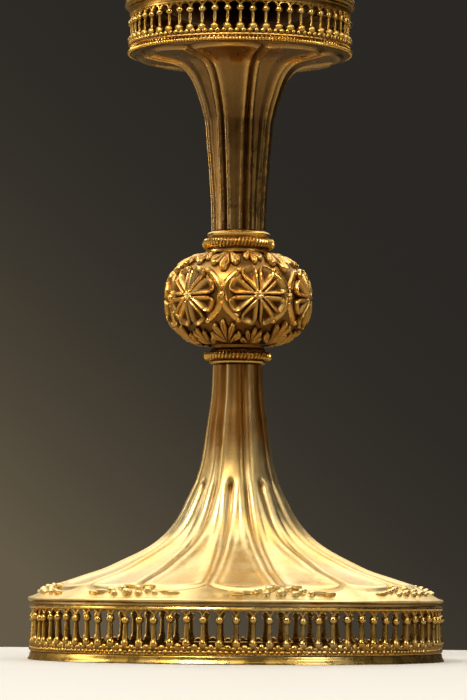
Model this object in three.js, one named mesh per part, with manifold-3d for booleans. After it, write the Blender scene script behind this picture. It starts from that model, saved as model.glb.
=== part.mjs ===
// A covered ciborium of gilded silver: a hollow fluted foot on a gallery of small balusters, a stem
// with a knop of six rosettes, an upper gallery that carries the bowl, and a hinged lid with a cross.
//
// Every piece is a closed solid in its own named mesh, in millimetres, +Z up. The origin is the centre
// of the face that the foot stands on. The front faces -Y and the lid's hinge is at +Y. Angles are
// measured round the axis from the front, towards +X.
import * as THREE from "three";
import { mergeVertices } from "three/addons/utils/BufferGeometryUtils.js";
import Module from "manifold-3d";

const wasm = await Module();
wasm.setup();

// ---- Driving dimensions ------------------------------------------------------------------------

const GAP = 0.3; // kept between neighbouring pieces
const WALL = 1.0; // raised and hammered sheet

// Foot
const BASE_RING_HEIGHT = 3.2;
const BASE_RING_LEDGE = 4.0; // how far the base ring reaches inside the baluster circle
const FOOT_GALLERY_RADIUS = 73.6; // circle that the foot's balusters stand on
const FOOT_ARCADE_HEIGHT = 16.3;
const FOOT_ARCADE_SEGMENTS = 8;
const FOOT_BALUSTERS_PER_SEGMENT = 10;
const FOOT_SHELL_HEIGHT = 87.4;
const FOOT_OVERHANG = 2.3; // of the foot's edge beyond the baluster circle
const FOOT_EDGE_HEIGHT = 1.3;
const FOOT_SHOULDER_INSET = 5.5; // where the bevelled edge meets the flare
const FOOT_SHOULDER_HEIGHT = 5.2;
const FOOT_NECK_RADIUS = 8.9; // the radius that the flare runs up towards
const FOOT_FLARE_DECAY = 16.8; // height in which the flare narrows by a factor of e
const FOOT_CREASE_TOP = 66; // height above the floor where the short creases end

// Stem
const FLUTES = 8; // round the foot, the stem and the lid
const FIRST_FLUTE = 13.5; // degrees, the first main groove
const GROOVE_DEPTH = 0.8;
const ROD_RADIUS = 2.5;
const WASHER_RADIUS = 17;
const WASHER_HEIGHT = 4;
const NUT_FLATS = 10;
const NUT_HEIGHT = 5;
const ROD_TAIL = 2.7; // rod showing below the nut
const LOWER_COLLAR_HEIGHT = 6.5;
const LOWER_COLLAR_RADIUS = 10.4;
const LOWER_WIRE_RADIUS = 1.6;
const UPPER_COLLAR_HEIGHT = 8.3;
const UPPER_COLLAR_RADIUS = 11.4;
const UPPER_WIRE_RADIUS = 1.9;
const KNOP_HEIGHT = 32.8;
const KNOP_RADIUS = 25.4;
const KNOP_HALF_HEIGHT = 17.4; // of the whole rounded form, whose two ends are cut off
const KNOP_POWER = 2.45; // 2 is an ellipsoid; more than 2 gives fuller shoulders
const ROSETTES = 6;
const FIRST_ROSETTE = 17.5; // degrees
const ROSETTE_RADIUS = 10.3;
const ROSETTE_LIFT = 0.5; // its flat facets stay clear of the knop's curve
const ROSETTE_RELIEF = 1.0;
const PETALS = 8;
const UPPER_STEM_HEIGHT = 65;
const UPPER_STEM_RADIUS = 9.7;

// Upper gallery
const UPPER_GALLERY_RADIUS = 39.1; // circle that the upper balusters stand on
const GALLERY_BASE_HEIGHT = 2.3;
const UPPER_ARCADE_HEIGHT = 13.1;
const UPPER_ARCADE_SEGMENTS = 6;
const UPPER_BALUSTERS_PER_SEGMENT = 9;
const FLOOR_THICKNESS = 1.0;
const CROWN_RING_HEIGHT = 2.3;
const CROWN_OVERHANG = 3.2; // beyond the baluster circle

// Balusters of both galleries
const BALUSTER_FOOT_RADIUS = 1.55;
const BALUSTER_SHAFT_RADIUS = 0.75;
const BALUSTER_TAPER = 1.8; // from a strip to where the shaft begins
const BALUSTER_SIDES = 4;
const STRIP_MARGIN = 0.35; // metal left round a baluster's foot
const STRIP_HEIGHT = 2.4; // of the strips that hold the balusters

// Bowl
const BOWL_RADIUS = 50.4;
const BOWL_DEPTH = 54; // outside, from its lowest point to the rim
const BOWL_DROP = 9.9; // how deep it hangs below the top of the crown ring
const BOWL_BAND = 6; // upright band under the rim
const BOSS_RADIUS = 6;
const RIM_RING_WIDTH = 1.5;
const RIM_RING_HEIGHT = 4;

// Lid
const LID_HEIGHT = 42;
const LID_EDGE_HEIGHT = 3.2;
const LID_SHOULDER_INSET = 3.8;
const LID_SHOULDER_HEIGHT = 6.2;
const LID_NECK_RADIUS = 5.2;
const LID_FLARE_DECAY = 11.5;
const BEZEL_DEPTH = 3; // below the rim
const BEZEL_WIDTH = 1;
const BEZEL_CLEARANCE = 0.4;
const HINGE_WIDTH = 15.6;
const KNUCKLE_RADIUS = 2.1;
const HINGE_PIN_RADIUS = 0.9;
const HINGE_LEAF_HEIGHT = 7;
const HINGE_LEAF_THICKNESS = 1.2;
const LID_TRAVEL = 105; // degrees, where the lid's leaf comes down on the stops
const STOP_REACH = 4.6; // of the stops behind the hinge pin
const THUMB_LENGTH = 6;
const THUMB_WIDTH = 9;

// Finial
const FINIAL_COLLAR_RADIUS = 7.2;
const FINIAL_COLLAR_HEIGHT = 4;
const FINIAL_KNOP_RADIUS = 10.4;
const FINIAL_KNOP_HEIGHT = 14;
const FINIAL_PIN_RADIUS = 1.2;
const CROSS_FOOT_RADIUS = 3.4;
const CROSS_FOOT_HEIGHT = 5;
const CROSS_HEIGHT = 31;
const CROSS_SPAN = 23;
const CROSS_BAR = 2.6; // width of a bar at the crossing
const CROSS_END = 7.2; // width of a bar at its flared end
const CROSS_THICKNESS = 2.6;

// Facets round a circle
const SHELL_FACETS = 32;
const RING_FACETS = 32;
const SMALL_FACETS = 20;

// ---- Heights, stacked from the floor up --------------------------------------------------------

const footArcadeBottom = BASE_RING_HEIGHT + GAP;
const footShellBottom = footArcadeBottom + FOOT_ARCADE_HEIGHT + GAP;
const footShellTop = footShellBottom + FOOT_SHELL_HEIGHT;
const lowerCollarBottom = footShellTop + GAP;
const knopBottom = lowerCollarBottom + LOWER_COLLAR_HEIGHT + GAP;
const knopMiddle = knopBottom + KNOP_HEIGHT / 2;
const upperCollarBottom = knopBottom + KNOP_HEIGHT + GAP;
const upperStemBottom = upperCollarBottom + UPPER_COLLAR_HEIGHT + GAP;
const upperStemTop = upperStemBottom + UPPER_STEM_HEIGHT;
const galleryBaseBottom = upperStemTop + GAP;
const upperArcadeBottom = galleryBaseBottom + GALLERY_BASE_HEIGHT + GAP;
const crownBottom = upperArcadeBottom + UPPER_ARCADE_HEIGHT + GAP;
const crownTop = crownBottom + CROWN_RING_HEIGHT;
const bowlBottom = crownTop - BOWL_DROP;
const bowlRim = bowlBottom + BOWL_DEPTH;
const lidBottom = bowlRim + GAP;
const lidTop = lidBottom + LID_HEIGHT;
const finialCollarBottom = lidTop + GAP;
const finialKnopBottom = finialCollarBottom + FINIAL_COLLAR_HEIGHT + GAP;
const crossBottom = finialKnopBottom + FINIAL_KNOP_HEIGHT + GAP;

// ---- Shared helpers ----------------------------------------------------------------------------

const degrees = THREE.MathUtils.degToRad;
const point = (radius, height) => new THREE.Vector2(radius, height);

/** The place at a radius and an angle round the axis, seen from above. */
const around = (radius, angle) =>
  new THREE.Vector2(radius * Math.sin(angle), -radius * Math.cos(angle));

/** A solid of revolution about Z from (radius, height) points, which run up the outside. */
function turned(points, facets, start = 0) {
  return new THREE.LatheGeometry(points, facets, start).rotateX(Math.PI / 2);
}

/** A ring with a closed outline, given as [radius, height] pairs up the outside and down the inside. */
function ring(pairs, facets = RING_FACETS) {
  const outline = pairs.map(([radius, height]) => point(radius, height));
  return turned([...outline, outline[0]], facets);
}

function toSolid(geometry) {
  const bare = geometry.clone();
  bare.deleteAttribute("normal");
  bare.deleteAttribute("uv");
  const merged = mergeVertices(bare, 1e-4);
  return new wasm.Manifold(
    new wasm.Mesh({
      numProp: 3,
      vertProperties: merged.attributes.position.array,
      triVerts: new Uint32Array(merged.index.array),
    }),
  );
}

function toGeometry(solid) {
  const { vertProperties, triVerts } = solid.getMesh();
  const geometry = new THREE.BufferGeometry();
  geometry.setAttribute("position", new THREE.BufferAttribute(vertProperties, 3));
  geometry.setIndex(new THREE.BufferAttribute(triVerts, 1));
  geometry.computeVertexNormals();
  return geometry;
}

/** Joins geometries into one solid, then cuts others out of it. */
function carved(joined, cut = []) {
  const [first, ...others] = joined.map(toSolid);
  const whole = others.reduce((sum, solid) => sum.add(solid), first);
  return toGeometry(cut.map(toSolid).reduce((rest, solid) => rest.subtract(solid), whole));
}

function box(width, depth, height, x, y, z) {
  return new THREE.BoxGeometry(width, depth, height).translate(x, y, z);
}

/** A round bar along X, centred on x. */
function barAlongX(radius, length, x, y, z, facets = 16) {
  return new THREE.CylinderGeometry(radius, radius, length, facets)
    .rotateZ(Math.PI / 2)
    .translate(x, y, z);
}

// ---- Fluted shells -----------------------------------------------------------------------------

/** Unit normals of an outline that runs upwards, pointing out of the shell. */
function outwardNormals(outline, first, last) {
  return outline.map((_, i) => {
    if (i === 0) return first;
    if (i === outline.length - 1) return last;
    const along = outline[i + 1].clone().sub(outline[i - 1]).normalize();
    return new THREE.Vector2(along.y, -along.x);
  });
}

/**
 * A sheet shell turned from an outline, with its wall inside it. depthAt(angle, height) is how far the
 * sheet is pushed in there, along its normal.
 */
function flutedShell(outline, normals, facets, depthAt) {
  const inner = outline.map((p, i) => p.clone().addScaledVector(normals[i], -WALL));
  const loop = [...outline, ...inner.reverse(), outline[0]];
  const across = [...normals, ...[...normals].reverse(), normals[0]];
  const heights = [...outline, ...[...outline].reverse(), outline[0]].map((p) => p.y);
  const geometry = new THREE.LatheGeometry(loop, facets, degrees(FIRST_FLUTE));
  const { position } = geometry.attributes;
  for (let step = 0; step <= facets; step++) {
    const angle = degrees(FIRST_FLUTE) + (step / facets) * 2 * Math.PI;
    for (let i = 0; i < loop.length; i++) {
      const push = depthAt(angle, heights[i]);
      const radius = loop[i].x - across[i].x * push;
      const at = step * loop.length + i;
      position.setXYZ(
        at,
        radius * Math.sin(angle),
        loop[i].y - across[i].y * push,
        radius * Math.cos(angle),
      );
    }
  }
  return geometry.rotateX(Math.PI / 2);
}

/** 1 in the middle of a groove and 0 from half a width away, for evenly spaced grooves. */
function groove(angle, first, count, halfWidth) {
  const spacing = (2 * Math.PI) / count;
  const turns = (angle - first) / spacing;
  const away = Math.abs(turns - Math.round(turns)) * spacing;
  return Math.max(0, 1 - away / halfWidth);
}

/** The radius of a flare that narrows towards a neck, at a height above its shoulder. */
const flareRadius = (height, neck, shoulder, decay) =>
  neck + (shoulder - neck) * Math.exp(-height / decay);

/** Outline of a flared shell: an upright edge, a bevel to the shoulder, then the flare up to its neck. */
function flaredOutline({ radius, bottom, height, edge, inset, shoulder, neck, decay, steps }) {
  const outline = [point(radius, bottom), point(radius, bottom + edge)];
  const rise = height - shoulder;
  for (let i = 0; i <= steps; i++) {
    // Closer steps at the wide end, where the flare turns fastest.
    const up = rise * (i / steps) ** 1.6;
    outline.push(point(flareRadius(up, neck, radius - inset, decay), bottom + shoulder + up));
  }
  return outline;
}

const level = new THREE.Vector2(1, 0);
const down = new THREE.Vector2(0, -1);

// ---- Foot --------------------------------------------------------------------------------------

const strip = BALUSTER_FOOT_RADIUS + STRIP_MARGIN; // half the width of a gallery's strips
const footRadius = FOOT_GALLERY_RADIUS + FOOT_OVERHANG;
const footOutline = flaredOutline({
  radius: footRadius,
  bottom: footShellBottom,
  height: FOOT_SHELL_HEIGHT,
  edge: FOOT_EDGE_HEIGHT,
  inset: FOOT_SHOULDER_INSET,
  shoulder: FOOT_SHOULDER_HEIGHT,
  neck: FOOT_NECK_RADIUS,
  decay: FOOT_FLARE_DECAY,
  steps: 7,
});

function baseRing() {
  const outer = FOOT_GALLERY_RADIUS + strip;
  const inner = FOOT_GALLERY_RADIUS - BASE_RING_LEDGE;
  return ring([
    [outer - 0.4, 0],
    [outer, 0.4],
    [outer, BASE_RING_HEIGHT * 0.4],
    [outer - 1, BASE_RING_HEIGHT],
    [FOOT_GALLERY_RADIUS - strip, BASE_RING_HEIGHT],
    [inner, BASE_RING_HEIGHT / 2],
    [inner, 0],
  ]);
}

function footShell() {
  const first = degrees(FIRST_FLUTE);
  const between = first + Math.PI / FLUTES;
  const width = (2 * Math.PI) / SHELL_FACETS;
  const lastFluted = footShellBottom + FOOT_SHOULDER_HEIGHT;
  return flutedShell(footOutline, outwardNormals(footOutline, level, level), SHELL_FACETS, (angle, height) => {
    if (height <= lastFluted) return 0;
    const long = groove(angle, first, FLUTES, width);
    const short = height < FOOT_CREASE_TOP ? groove(angle, between, FLUTES, width) : 0;
    return GROOVE_DEPTH * Math.max(long, short);
  });
}

/** The foot shell's free inside radius at its flare's radius, with the grooves and the wall taken off. */
function insideFoot(flare) {
  const slope = (flare - FOOT_NECK_RADIUS) / FOOT_FLARE_DECAY;
  return flare - (WALL + GROOVE_DEPTH) * Math.hypot(1, slope);
}

/** The height at which the washer jams in the foot's flare. */
function washerSeat() {
  const shoulder = footRadius - FOOT_SHOULDER_INSET;
  let flare = shoulder;
  while (insideFoot(flare) > WASHER_RADIUS + GAP) flare -= 0.01;
  const above = FOOT_FLARE_DECAY * Math.log((shoulder - FOOT_NECK_RADIUS) / (flare - FOOT_NECK_RADIUS));
  return footShellBottom + FOOT_SHOULDER_HEIGHT + above;
}

// ---- Galleries ---------------------------------------------------------------------------------

/** A strip bent round the axis between two angles. */
function bentStrip(radius, from, to, steps, bottom, height) {
  const outline = [];
  for (let i = 0; i <= steps; i++) outline.push(around(radius + strip, from + ((to - from) * i) / steps));
  for (let i = steps; i >= 0; i--) outline.push(around(radius - strip, from + ((to - from) * i) / steps));
  const shape = new THREE.Shape(outline);
  return new THREE.ExtrudeGeometry(shape, { depth: height, bevelEnabled: false }).translate(0, 0, bottom);
}

/** One cast length of arcade: two strips with the balusters between them. */
function arcadeSegment({ radius, index, segments, count, bottom, height }) {
  const span = (2 * Math.PI) / segments;
  const slack = GAP / (2 * (radius - strip));
  const from = index * span + slack;
  const to = (index + 1) * span - slack;
  const steps = Math.ceil(count / 2);
  const top = bottom + height;
  const low = bottom + STRIP_HEIGHT;
  const high = top - STRIP_HEIGHT;
  const baluster = turned(
    [
      point(0, low - STRIP_HEIGHT / 2),
      point(BALUSTER_FOOT_RADIUS, low - STRIP_HEIGHT / 2),
      point(BALUSTER_SHAFT_RADIUS, low + BALUSTER_TAPER),
      point(BALUSTER_SHAFT_RADIUS, high + STRIP_HEIGHT / 2),
      point(0, high + STRIP_HEIGHT / 2),
    ],
    BALUSTER_SIDES,
  );
  const balusters = [];
  for (let i = 0; i < count; i++) {
    const place = around(radius, from + ((i + 0.5) / count) * (to - from));
    balusters.push(baluster.clone().translate(place.x, place.y, 0));
  }
  return carved([
    bentStrip(radius, from, to, steps, bottom, STRIP_HEIGHT),
    bentStrip(radius, from, to, steps, high, STRIP_HEIGHT),
    ...balusters,
  ]);
}

// ---- Stem --------------------------------------------------------------------------------------

const rodHole = ROD_RADIUS + GAP;

function washer() {
  const top = washerSeat();
  return ring(
    [
      [WASHER_RADIUS, top - WASHER_HEIGHT],
      [WASHER_RADIUS, top],
      [rodHole, top],
      [rodHole, top - WASHER_HEIGHT],
    ],
    SMALL_FACETS,
  );
}

const nutTop = washerSeat() - WASHER_HEIGHT - GAP;

function nut() {
  const corner = NUT_FLATS / 2 / Math.cos(Math.PI / 6);
  const body = new THREE.CylinderGeometry(corner, corner, NUT_HEIGHT, 6);
  const hole = new THREE.CylinderGeometry(rodHole, rodHole, NUT_HEIGHT + 2, SMALL_FACETS);
  const geometry = carved([body], [hole]);
  return geometry.rotateX(Math.PI / 2).translate(0, 0, nutTop - NUT_HEIGHT / 2);
}

const rodBottom = nutTop - NUT_HEIGHT - ROD_TAIL;
const floorTop = galleryBaseBottom + FLOOR_THICKNESS;
const bossBottom = floorTop + GAP;
const bossTop = bowlBottom - GAP;
const rodTop = bossTop - 2;

function rod() {
  return turned(
    [
      point(0, rodBottom),
      point(ROD_RADIUS, rodBottom),
      point(ROD_RADIUS, rodTop),
      point(0, rodTop),
    ],
    SMALL_FACETS,
  );
}

function boss() {
  return turned(
    [
      point(rodHole, bossBottom),
      point(BOSS_RADIUS, bossBottom),
      point(BOSS_RADIUS, bossTop),
      point(0, bossTop),
      point(0, rodTop + GAP),
      point(rodHole, rodTop + GAP),
      point(rodHole, bossBottom),
    ],
    SMALL_FACETS,
  );
}

/** A turned collar with a channel round it for its twisted wire. */
function collar(radius, bottom, height, wire) {
  const middle = bottom + height / 2;
  return ring(
    [
      [radius, bottom],
      [radius, middle - wire - GAP],
      [radius - wire, middle - wire - GAP],
      [radius - wire, middle + wire + GAP],
      [radius, middle + wire + GAP],
      [radius, bottom + height],
      [rodHole, bottom + height],
      [rodHole, bottom],
    ],
    SMALL_FACETS,
  );
}

/** The twisted wire in a collar's channel, as a plain round ring. */
function collarWire(radius, bottom, height, wire) {
  const outline = [];
  for (let i = 0; i < 6; i++) {
    const turn = ((i + 0.5) / 6) * 2 * Math.PI;
    outline.push([radius + GAP + wire * Math.cos(turn), bottom + height / 2 + wire * Math.sin(turn)]);
  }
  return ring(outline, SMALL_FACETS);
}

/** The knop's radius at a height above its middle, for a form that is larger by an offset. */
const knopRadius = (height, offset) =>
  (KNOP_RADIUS + offset) * (1 - Math.abs(height / (KNOP_HALF_HEIGHT + offset)) ** KNOP_POWER) ** (1 / KNOP_POWER);

/** Half of the knop, from its equator to the opening for the stem; side is 1 for the upper half. */
function knopShell(side) {
  const steps = 4;
  const outer = [];
  const inner = [];
  for (let i = 0; i <= steps; i++) {
    const away = GAP / 2 + (KNOP_HEIGHT / 2 - GAP / 2) * Math.sin((i / steps) * (Math.PI / 2));
    outer.push([knopRadius(away, 0), knopMiddle + side * away]);
    inner.push([Math.max(knopRadius(Math.min(away, KNOP_HALF_HEIGHT - WALL), -WALL), rodHole), knopMiddle + side * away]);
  }
  const loop = side > 0 ? [...outer, ...inner.reverse()] : [...outer.reverse(), ...inner];
  return ring(loop, SMALL_FACETS);
}

/** A rosette of pointed petals that follows the knop's surface, just clear of it. */
function rosette(index) {
  const centre = degrees(FIRST_ROSETTE) + (index / ROSETTES) * 2 * Math.PI;
  const onKnop = (across, up, offset) => {
    const radius = knopRadius(up, offset);
    const place = around(radius, centre + across / KNOP_RADIUS);
    return [place.x, place.y, knopMiddle + up];
  };
  const rim = PETALS * 2;
  const corners = [];
  for (const offset of [ROSETTE_LIFT, ROSETTE_LIFT + ROSETTE_RELIEF]) {
    corners.push(onKnop(0, 0, offset));
    for (const share of [0.5, 1]) {
      for (let i = 0; i < rim; i++) {
        const reach = ROSETTE_RADIUS * share * (i % 2 ? 0.85 : 1);
        const turn = (i / rim) * 2 * Math.PI;
        corners.push(onKnop(reach * Math.sin(turn), reach * Math.cos(turn), offset));
      }
    }
  }
  const side = 1 + 2 * rim; // corners on one face
  const faces = [];
  for (let i = 0; i < rim; i++) {
    const next = (i + 1) % rim;
    const [a, b] = [1 + i, 1 + next];
    const [c, d] = [a + rim, b + rim];
    faces.push([0, a, b], [a, c, d], [a, d, b]);
    faces.push([side, side + b, side + a], [side + a, side + d, side + c], [side + a, side + b, side + d]);
    faces.push([c, side + c, side + d], [c, side + d, d]);
  }
  const geometry = new THREE.BufferGeometry();
  geometry.setAttribute("position", new THREE.Float32BufferAttribute(corners.flat(), 3));
  geometry.setIndex(faces.flat());
  return geometry;
}

const upperFlangeRadius = UPPER_GALLERY_RADIUS + strip - 0.8;

function upperStem() {
  const curve = new THREE.CubicBezierCurve(
    point(UPPER_STEM_RADIUS, upperStemBottom),
    point(UPPER_STEM_RADIUS * 1.03, upperStemBottom + UPPER_STEM_HEIGHT * 0.72),
    point(UPPER_STEM_RADIUS * 1.4, upperStemTop - WALL - 2),
    point(upperFlangeRadius, upperStemTop - WALL),
  );
  const outline = curve.getPoints(8);
  const fluted = upperStemTop - WALL - 0.8;
  const width = (2 * Math.PI) / SHELL_FACETS;
  return flutedShell(outline, outwardNormals(outline, level, down), SHELL_FACETS, (angle, height) =>
    height < fluted ? GROOVE_DEPTH * groove(angle, degrees(FIRST_FLUTE), FLUTES, width) : 0,
  );
}

// ---- Upper gallery -----------------------------------------------------------------------------

function galleryBase() {
  const outer = UPPER_GALLERY_RADIUS + strip;
  const top = galleryBaseBottom + GALLERY_BASE_HEIGHT;
  return ring([
    [outer, galleryBaseBottom],
    [outer, galleryBaseBottom + 0.8],
    [outer - 0.5, galleryBaseBottom + 1.1],
    [outer - 0.5, top - 0.5],
    [outer, top],
    [UPPER_GALLERY_RADIUS - strip, top],
    [UPPER_GALLERY_RADIUS - strip, galleryBaseBottom],
  ]);
}

function galleryFloor() {
  const radius = UPPER_GALLERY_RADIUS - strip - GAP;
  return ring([
    [radius, galleryBaseBottom],
    [radius, floorTop],
    [rodHole, floorTop],
    [rodHole, galleryBaseBottom],
  ]);
}

const bowlCentre = bowlRim - BOWL_BAND;

/** The bowl's outside radius at a height above the floor. */
function bowlRadius(height) {
  const below = Math.max(0, bowlCentre - height);
  return BOWL_RADIUS * Math.sqrt(Math.max(0, 1 - (below / (BOWL_DEPTH - BOWL_BAND)) ** 2));
}

function crownRing() {
  const outer = UPPER_GALLERY_RADIUS + CROWN_OVERHANG;
  const inner = bowlRadius(crownTop) + GAP;
  const middle = (crownBottom + crownTop) / 2;
  return ring([
    [outer - 0.8, crownBottom],
    [outer, middle],
    [outer - 0.8, crownTop],
    [inner, crownTop],
    [Math.min(inner, UPPER_GALLERY_RADIUS - strip), crownBottom],
  ]);
}

// ---- Bowl --------------------------------------------------------------------------------------

function bowl() {
  const steps = 5;
  const depth = BOWL_DEPTH - BOWL_BAND;
  const quarter = (radius, height) => {
    const arc = [];
    for (let i = 0; i <= steps; i++) {
      const turn = (i / steps) * (Math.PI / 2);
      arc.push(point(radius * Math.sin(turn), bowlCentre - height * Math.cos(turn)));
    }
    return arc;
  };
  const outer = quarter(BOWL_RADIUS, depth);
  const inner = quarter(BOWL_RADIUS - WALL, depth - WALL).reverse();
  return turned([...outer, point(BOWL_RADIUS, bowlRim), point(BOWL_RADIUS - WALL, bowlRim), ...inner], RING_FACETS);
}

const rimRingInner = BOWL_RADIUS + GAP;
const rimRingOuter = rimRingInner + RIM_RING_WIDTH;

function rimRing(bottom) {
  const top = bottom + RIM_RING_HEIGHT;
  return ring([
    [rimRingOuter, bottom],
    [rimRingOuter, top],
    [rimRingInner, top],
    [rimRingInner, bottom],
  ]);
}

// ---- Hinge -------------------------------------------------------------------------------------

const hingeY = rimRingOuter + GAP + KNUCKLE_RADIUS;
const hingeZ = bowlRim + GAP / 2;
const knuckleLength = (HINGE_WIDTH - 2 * GAP) / 3;

/** The height, above the pin, of the lid's leaf at the end of the stops when the lid is right open. */
function stopTop() {
  const travel = degrees(LID_TRAVEL);
  const face = KNUCKLE_RADIUS - HINGE_LEAF_THICKNESS; // from the pin to the leaf's outer face
  const along = (STOP_REACH + face * Math.cos(travel)) / Math.sin(travel);
  return face * Math.sin(travel) + along * Math.cos(travel) - GAP;
}

/** Stops for the opened lid: blocks behind the bowl's knuckles, which the lid's leaf comes down on. */
function stops(knuckles) {
  const height = stopTop() + KNUCKLE_RADIUS;
  const middle = hingeZ - KNUCKLE_RADIUS + height / 2;
  const bore = HINGE_PIN_RADIUS + GAP;
  const depth = STOP_REACH - bore;
  return knuckles.map((place) =>
    box(knuckleLength, depth, height, place * (knuckleLength + GAP), hingeY + bore + depth / 2, middle),
  );
}

/** A hinge leaf with its knuckles; side is -1 for the bowl's leaf below the pin, 1 for the lid's above. */
function hingeLeaf(side, knuckles, others, additions = []) {
  const inside = rimRingOuter + GAP;
  const reach = KNUCKLE_RADIUS + GAP;
  const plate = box(
    HINGE_WIDTH,
    HINGE_LEAF_THICKNESS,
    HINGE_LEAF_HEIGHT,
    0,
    inside + HINGE_LEAF_THICKNESS / 2,
    hingeZ + side * (GAP / 2 + HINGE_LEAF_HEIGHT / 2),
  );
  const barrels = knuckles.map((place) =>
    barAlongX(KNUCKLE_RADIUS, knuckleLength, place * (knuckleLength + GAP), hingeY, hingeZ),
  );
  const clearances = others.map((place) =>
    barAlongX(reach, knuckleLength + 2 * GAP, place * (knuckleLength + GAP), hingeY, hingeZ),
  );
  const bore = barAlongX(HINGE_PIN_RADIUS + GAP, HINGE_WIDTH * 2, 0, hingeY, hingeZ);
  return carved([plate, ...barrels, ...additions], [...clearances, bore]);
}

function hingePin() {
  const head = HINGE_PIN_RADIUS * 1.9;
  const headLength = 0.8;
  const x = HINGE_WIDTH / 2 + GAP + headLength / 2;
  return carved([
    barAlongX(HINGE_PIN_RADIUS, HINGE_WIDTH + 2 * GAP + headLength, 0, hingeY, hingeZ),
    barAlongX(head, headLength, -x, hingeY, hingeZ),
    barAlongX(head, headLength, x, hingeY, hingeZ),
  ]);
}

// ---- Lid ---------------------------------------------------------------------------------------

const lidOutline = flaredOutline({
  radius: BOWL_RADIUS,
  bottom: lidBottom,
  height: LID_HEIGHT,
  edge: LID_EDGE_HEIGHT,
  inset: LID_SHOULDER_INSET,
  shoulder: LID_SHOULDER_HEIGHT,
  neck: LID_NECK_RADIUS,
  decay: LID_FLARE_DECAY,
  steps: 4,
});

function lidShell() {
  const width = (2 * Math.PI) / RING_FACETS;
  const lastFluted = lidBottom + LID_SHOULDER_HEIGHT;
  return flutedShell(lidOutline, outwardNormals(lidOutline, level, level), RING_FACETS, (angle, height) =>
    height > lastFluted ? GROOVE_DEPTH * groove(angle, degrees(FIRST_FLUTE), FLUTES, width) : 0,
  );
}

function lidBezel() {
  const outer = BOWL_RADIUS - WALL - BEZEL_CLEARANCE;
  const inner = outer - BEZEL_WIDTH;
  const bottom = bowlRim - BEZEL_DEPTH;
  const top = lidBottom + LID_EDGE_HEIGHT - WALL - GAP;
  return ring([
    [outer, bottom],
    [outer, top],
    [inner, top],
    [inner, bottom],
  ]);
}

/** The thumb piece: a rounded tab on the front of the lid's ring. */
function thumbPiece() {
  const half = THUMB_WIDTH / 2;
  const shape = new THREE.Shape();
  shape.moveTo(-half, 0);
  shape.quadraticCurveTo(-half, -THUMB_LENGTH, 0, -THUMB_LENGTH);
  shape.quadraticCurveTo(half, -THUMB_LENGTH, half, 0);
  const height = RIM_RING_HEIGHT / 2;
  return new THREE.ExtrudeGeometry(shape, { depth: height, bevelEnabled: false, curveSegments: 6 })
    .translate(0, -rimRingOuter - GAP, lidBottom + RIM_RING_HEIGHT / 4);
}

// ---- Finial ------------------------------------------------------------------------------------

const pinHole = FINIAL_PIN_RADIUS + GAP;
const pinHeadHeight = 1.5;
const pinTop = crossBottom + CROSS_FOOT_HEIGHT - 1.5;

function finialCollar() {
  const bottom = finialCollarBottom;
  const top = bottom + FINIAL_COLLAR_HEIGHT;
  return ring(
    [
      [LID_NECK_RADIUS + 0.6, bottom],
      [FINIAL_COLLAR_RADIUS, bottom + FINIAL_COLLAR_HEIGHT * 0.35],
      [FINIAL_COLLAR_RADIUS, top - FINIAL_COLLAR_HEIGHT * 0.35],
      [LID_NECK_RADIUS, top],
      [pinHole, top],
      [pinHole, bottom],
    ],
    SMALL_FACETS,
  );
}

function finialKnop() {
  const steps = 5;
  const flat = degrees(22);
  const half = FINIAL_KNOP_HEIGHT / 2;
  const outline = [];
  for (let i = 0; i <= steps; i++) {
    const turn = flat + (i / steps) * (Math.PI - 2 * flat);
    const up = (-half * Math.cos(turn)) / Math.cos(flat);
    outline.push([FINIAL_KNOP_RADIUS * Math.sin(turn), finialKnopBottom + half + up]);
  }
  return ring(
    [...outline, [pinHole, finialKnopBottom + FINIAL_KNOP_HEIGHT], [pinHole, finialKnopBottom]],
    SMALL_FACETS,
  );
}

/** The headed pin that holds the collar, the little knop and the cross on the lid. */
function finialPin() {
  const headTop = finialCollarBottom - GAP;
  const head = (LID_NECK_RADIUS - WALL) * 0.6;
  return turned(
    [
      point(0, headTop - pinHeadHeight),
      point(head, headTop - pinHeadHeight),
      point(head, headTop),
      point(FINIAL_PIN_RADIUS, headTop),
      point(FINIAL_PIN_RADIUS, pinTop),
      point(0, pinTop),
    ],
    16,
  );
}

function cross() {
  const bar = CROSS_BAR / 2;
  const end = CROSS_END / 2;
  const foot = crossBottom + CROSS_FOOT_HEIGHT - 1;
  const top = foot + CROSS_HEIGHT;
  const crossing = top - CROSS_SPAN / 2;
  const arm = CROSS_SPAN / 2;
  const shape = new THREE.Shape(
    [
      [-bar, foot],
      [bar, foot],
      [bar, crossing - bar],
      [arm, crossing - end],
      [arm, crossing + end],
      [bar, crossing + bar],
      [end, top],
      [-end, top],
      [-bar, crossing + bar],
      [-arm, crossing + end],
      [-arm, crossing - end],
      [-bar, crossing - bar],
    ].map(([x, z]) => new THREE.Vector2(x, z)),
  );
  const plate = new THREE.ExtrudeGeometry(shape, { depth: CROSS_THICKNESS, bevelEnabled: false })
    .rotateX(Math.PI / 2)
    .translate(0, CROSS_THICKNESS / 2, 0);
  const socket = turned(
    [
      point(0, crossBottom),
      point(CROSS_FOOT_RADIUS, crossBottom),
      point(CROSS_BAR, crossBottom + CROSS_FOOT_HEIGHT),
      point(0, crossBottom + CROSS_FOOT_HEIGHT),
    ],
    16,
  );
  const hole = turned(
    [
      point(0, crossBottom - 1),
      point(pinHole, crossBottom - 1),
      point(pinHole, pinTop + GAP),
      point(0, pinTop + GAP),
    ],
    16,
  );
  return carved([plate, socket], [hole]);
}

// ---- Materials and assembly --------------------------------------------------------------------

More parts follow.
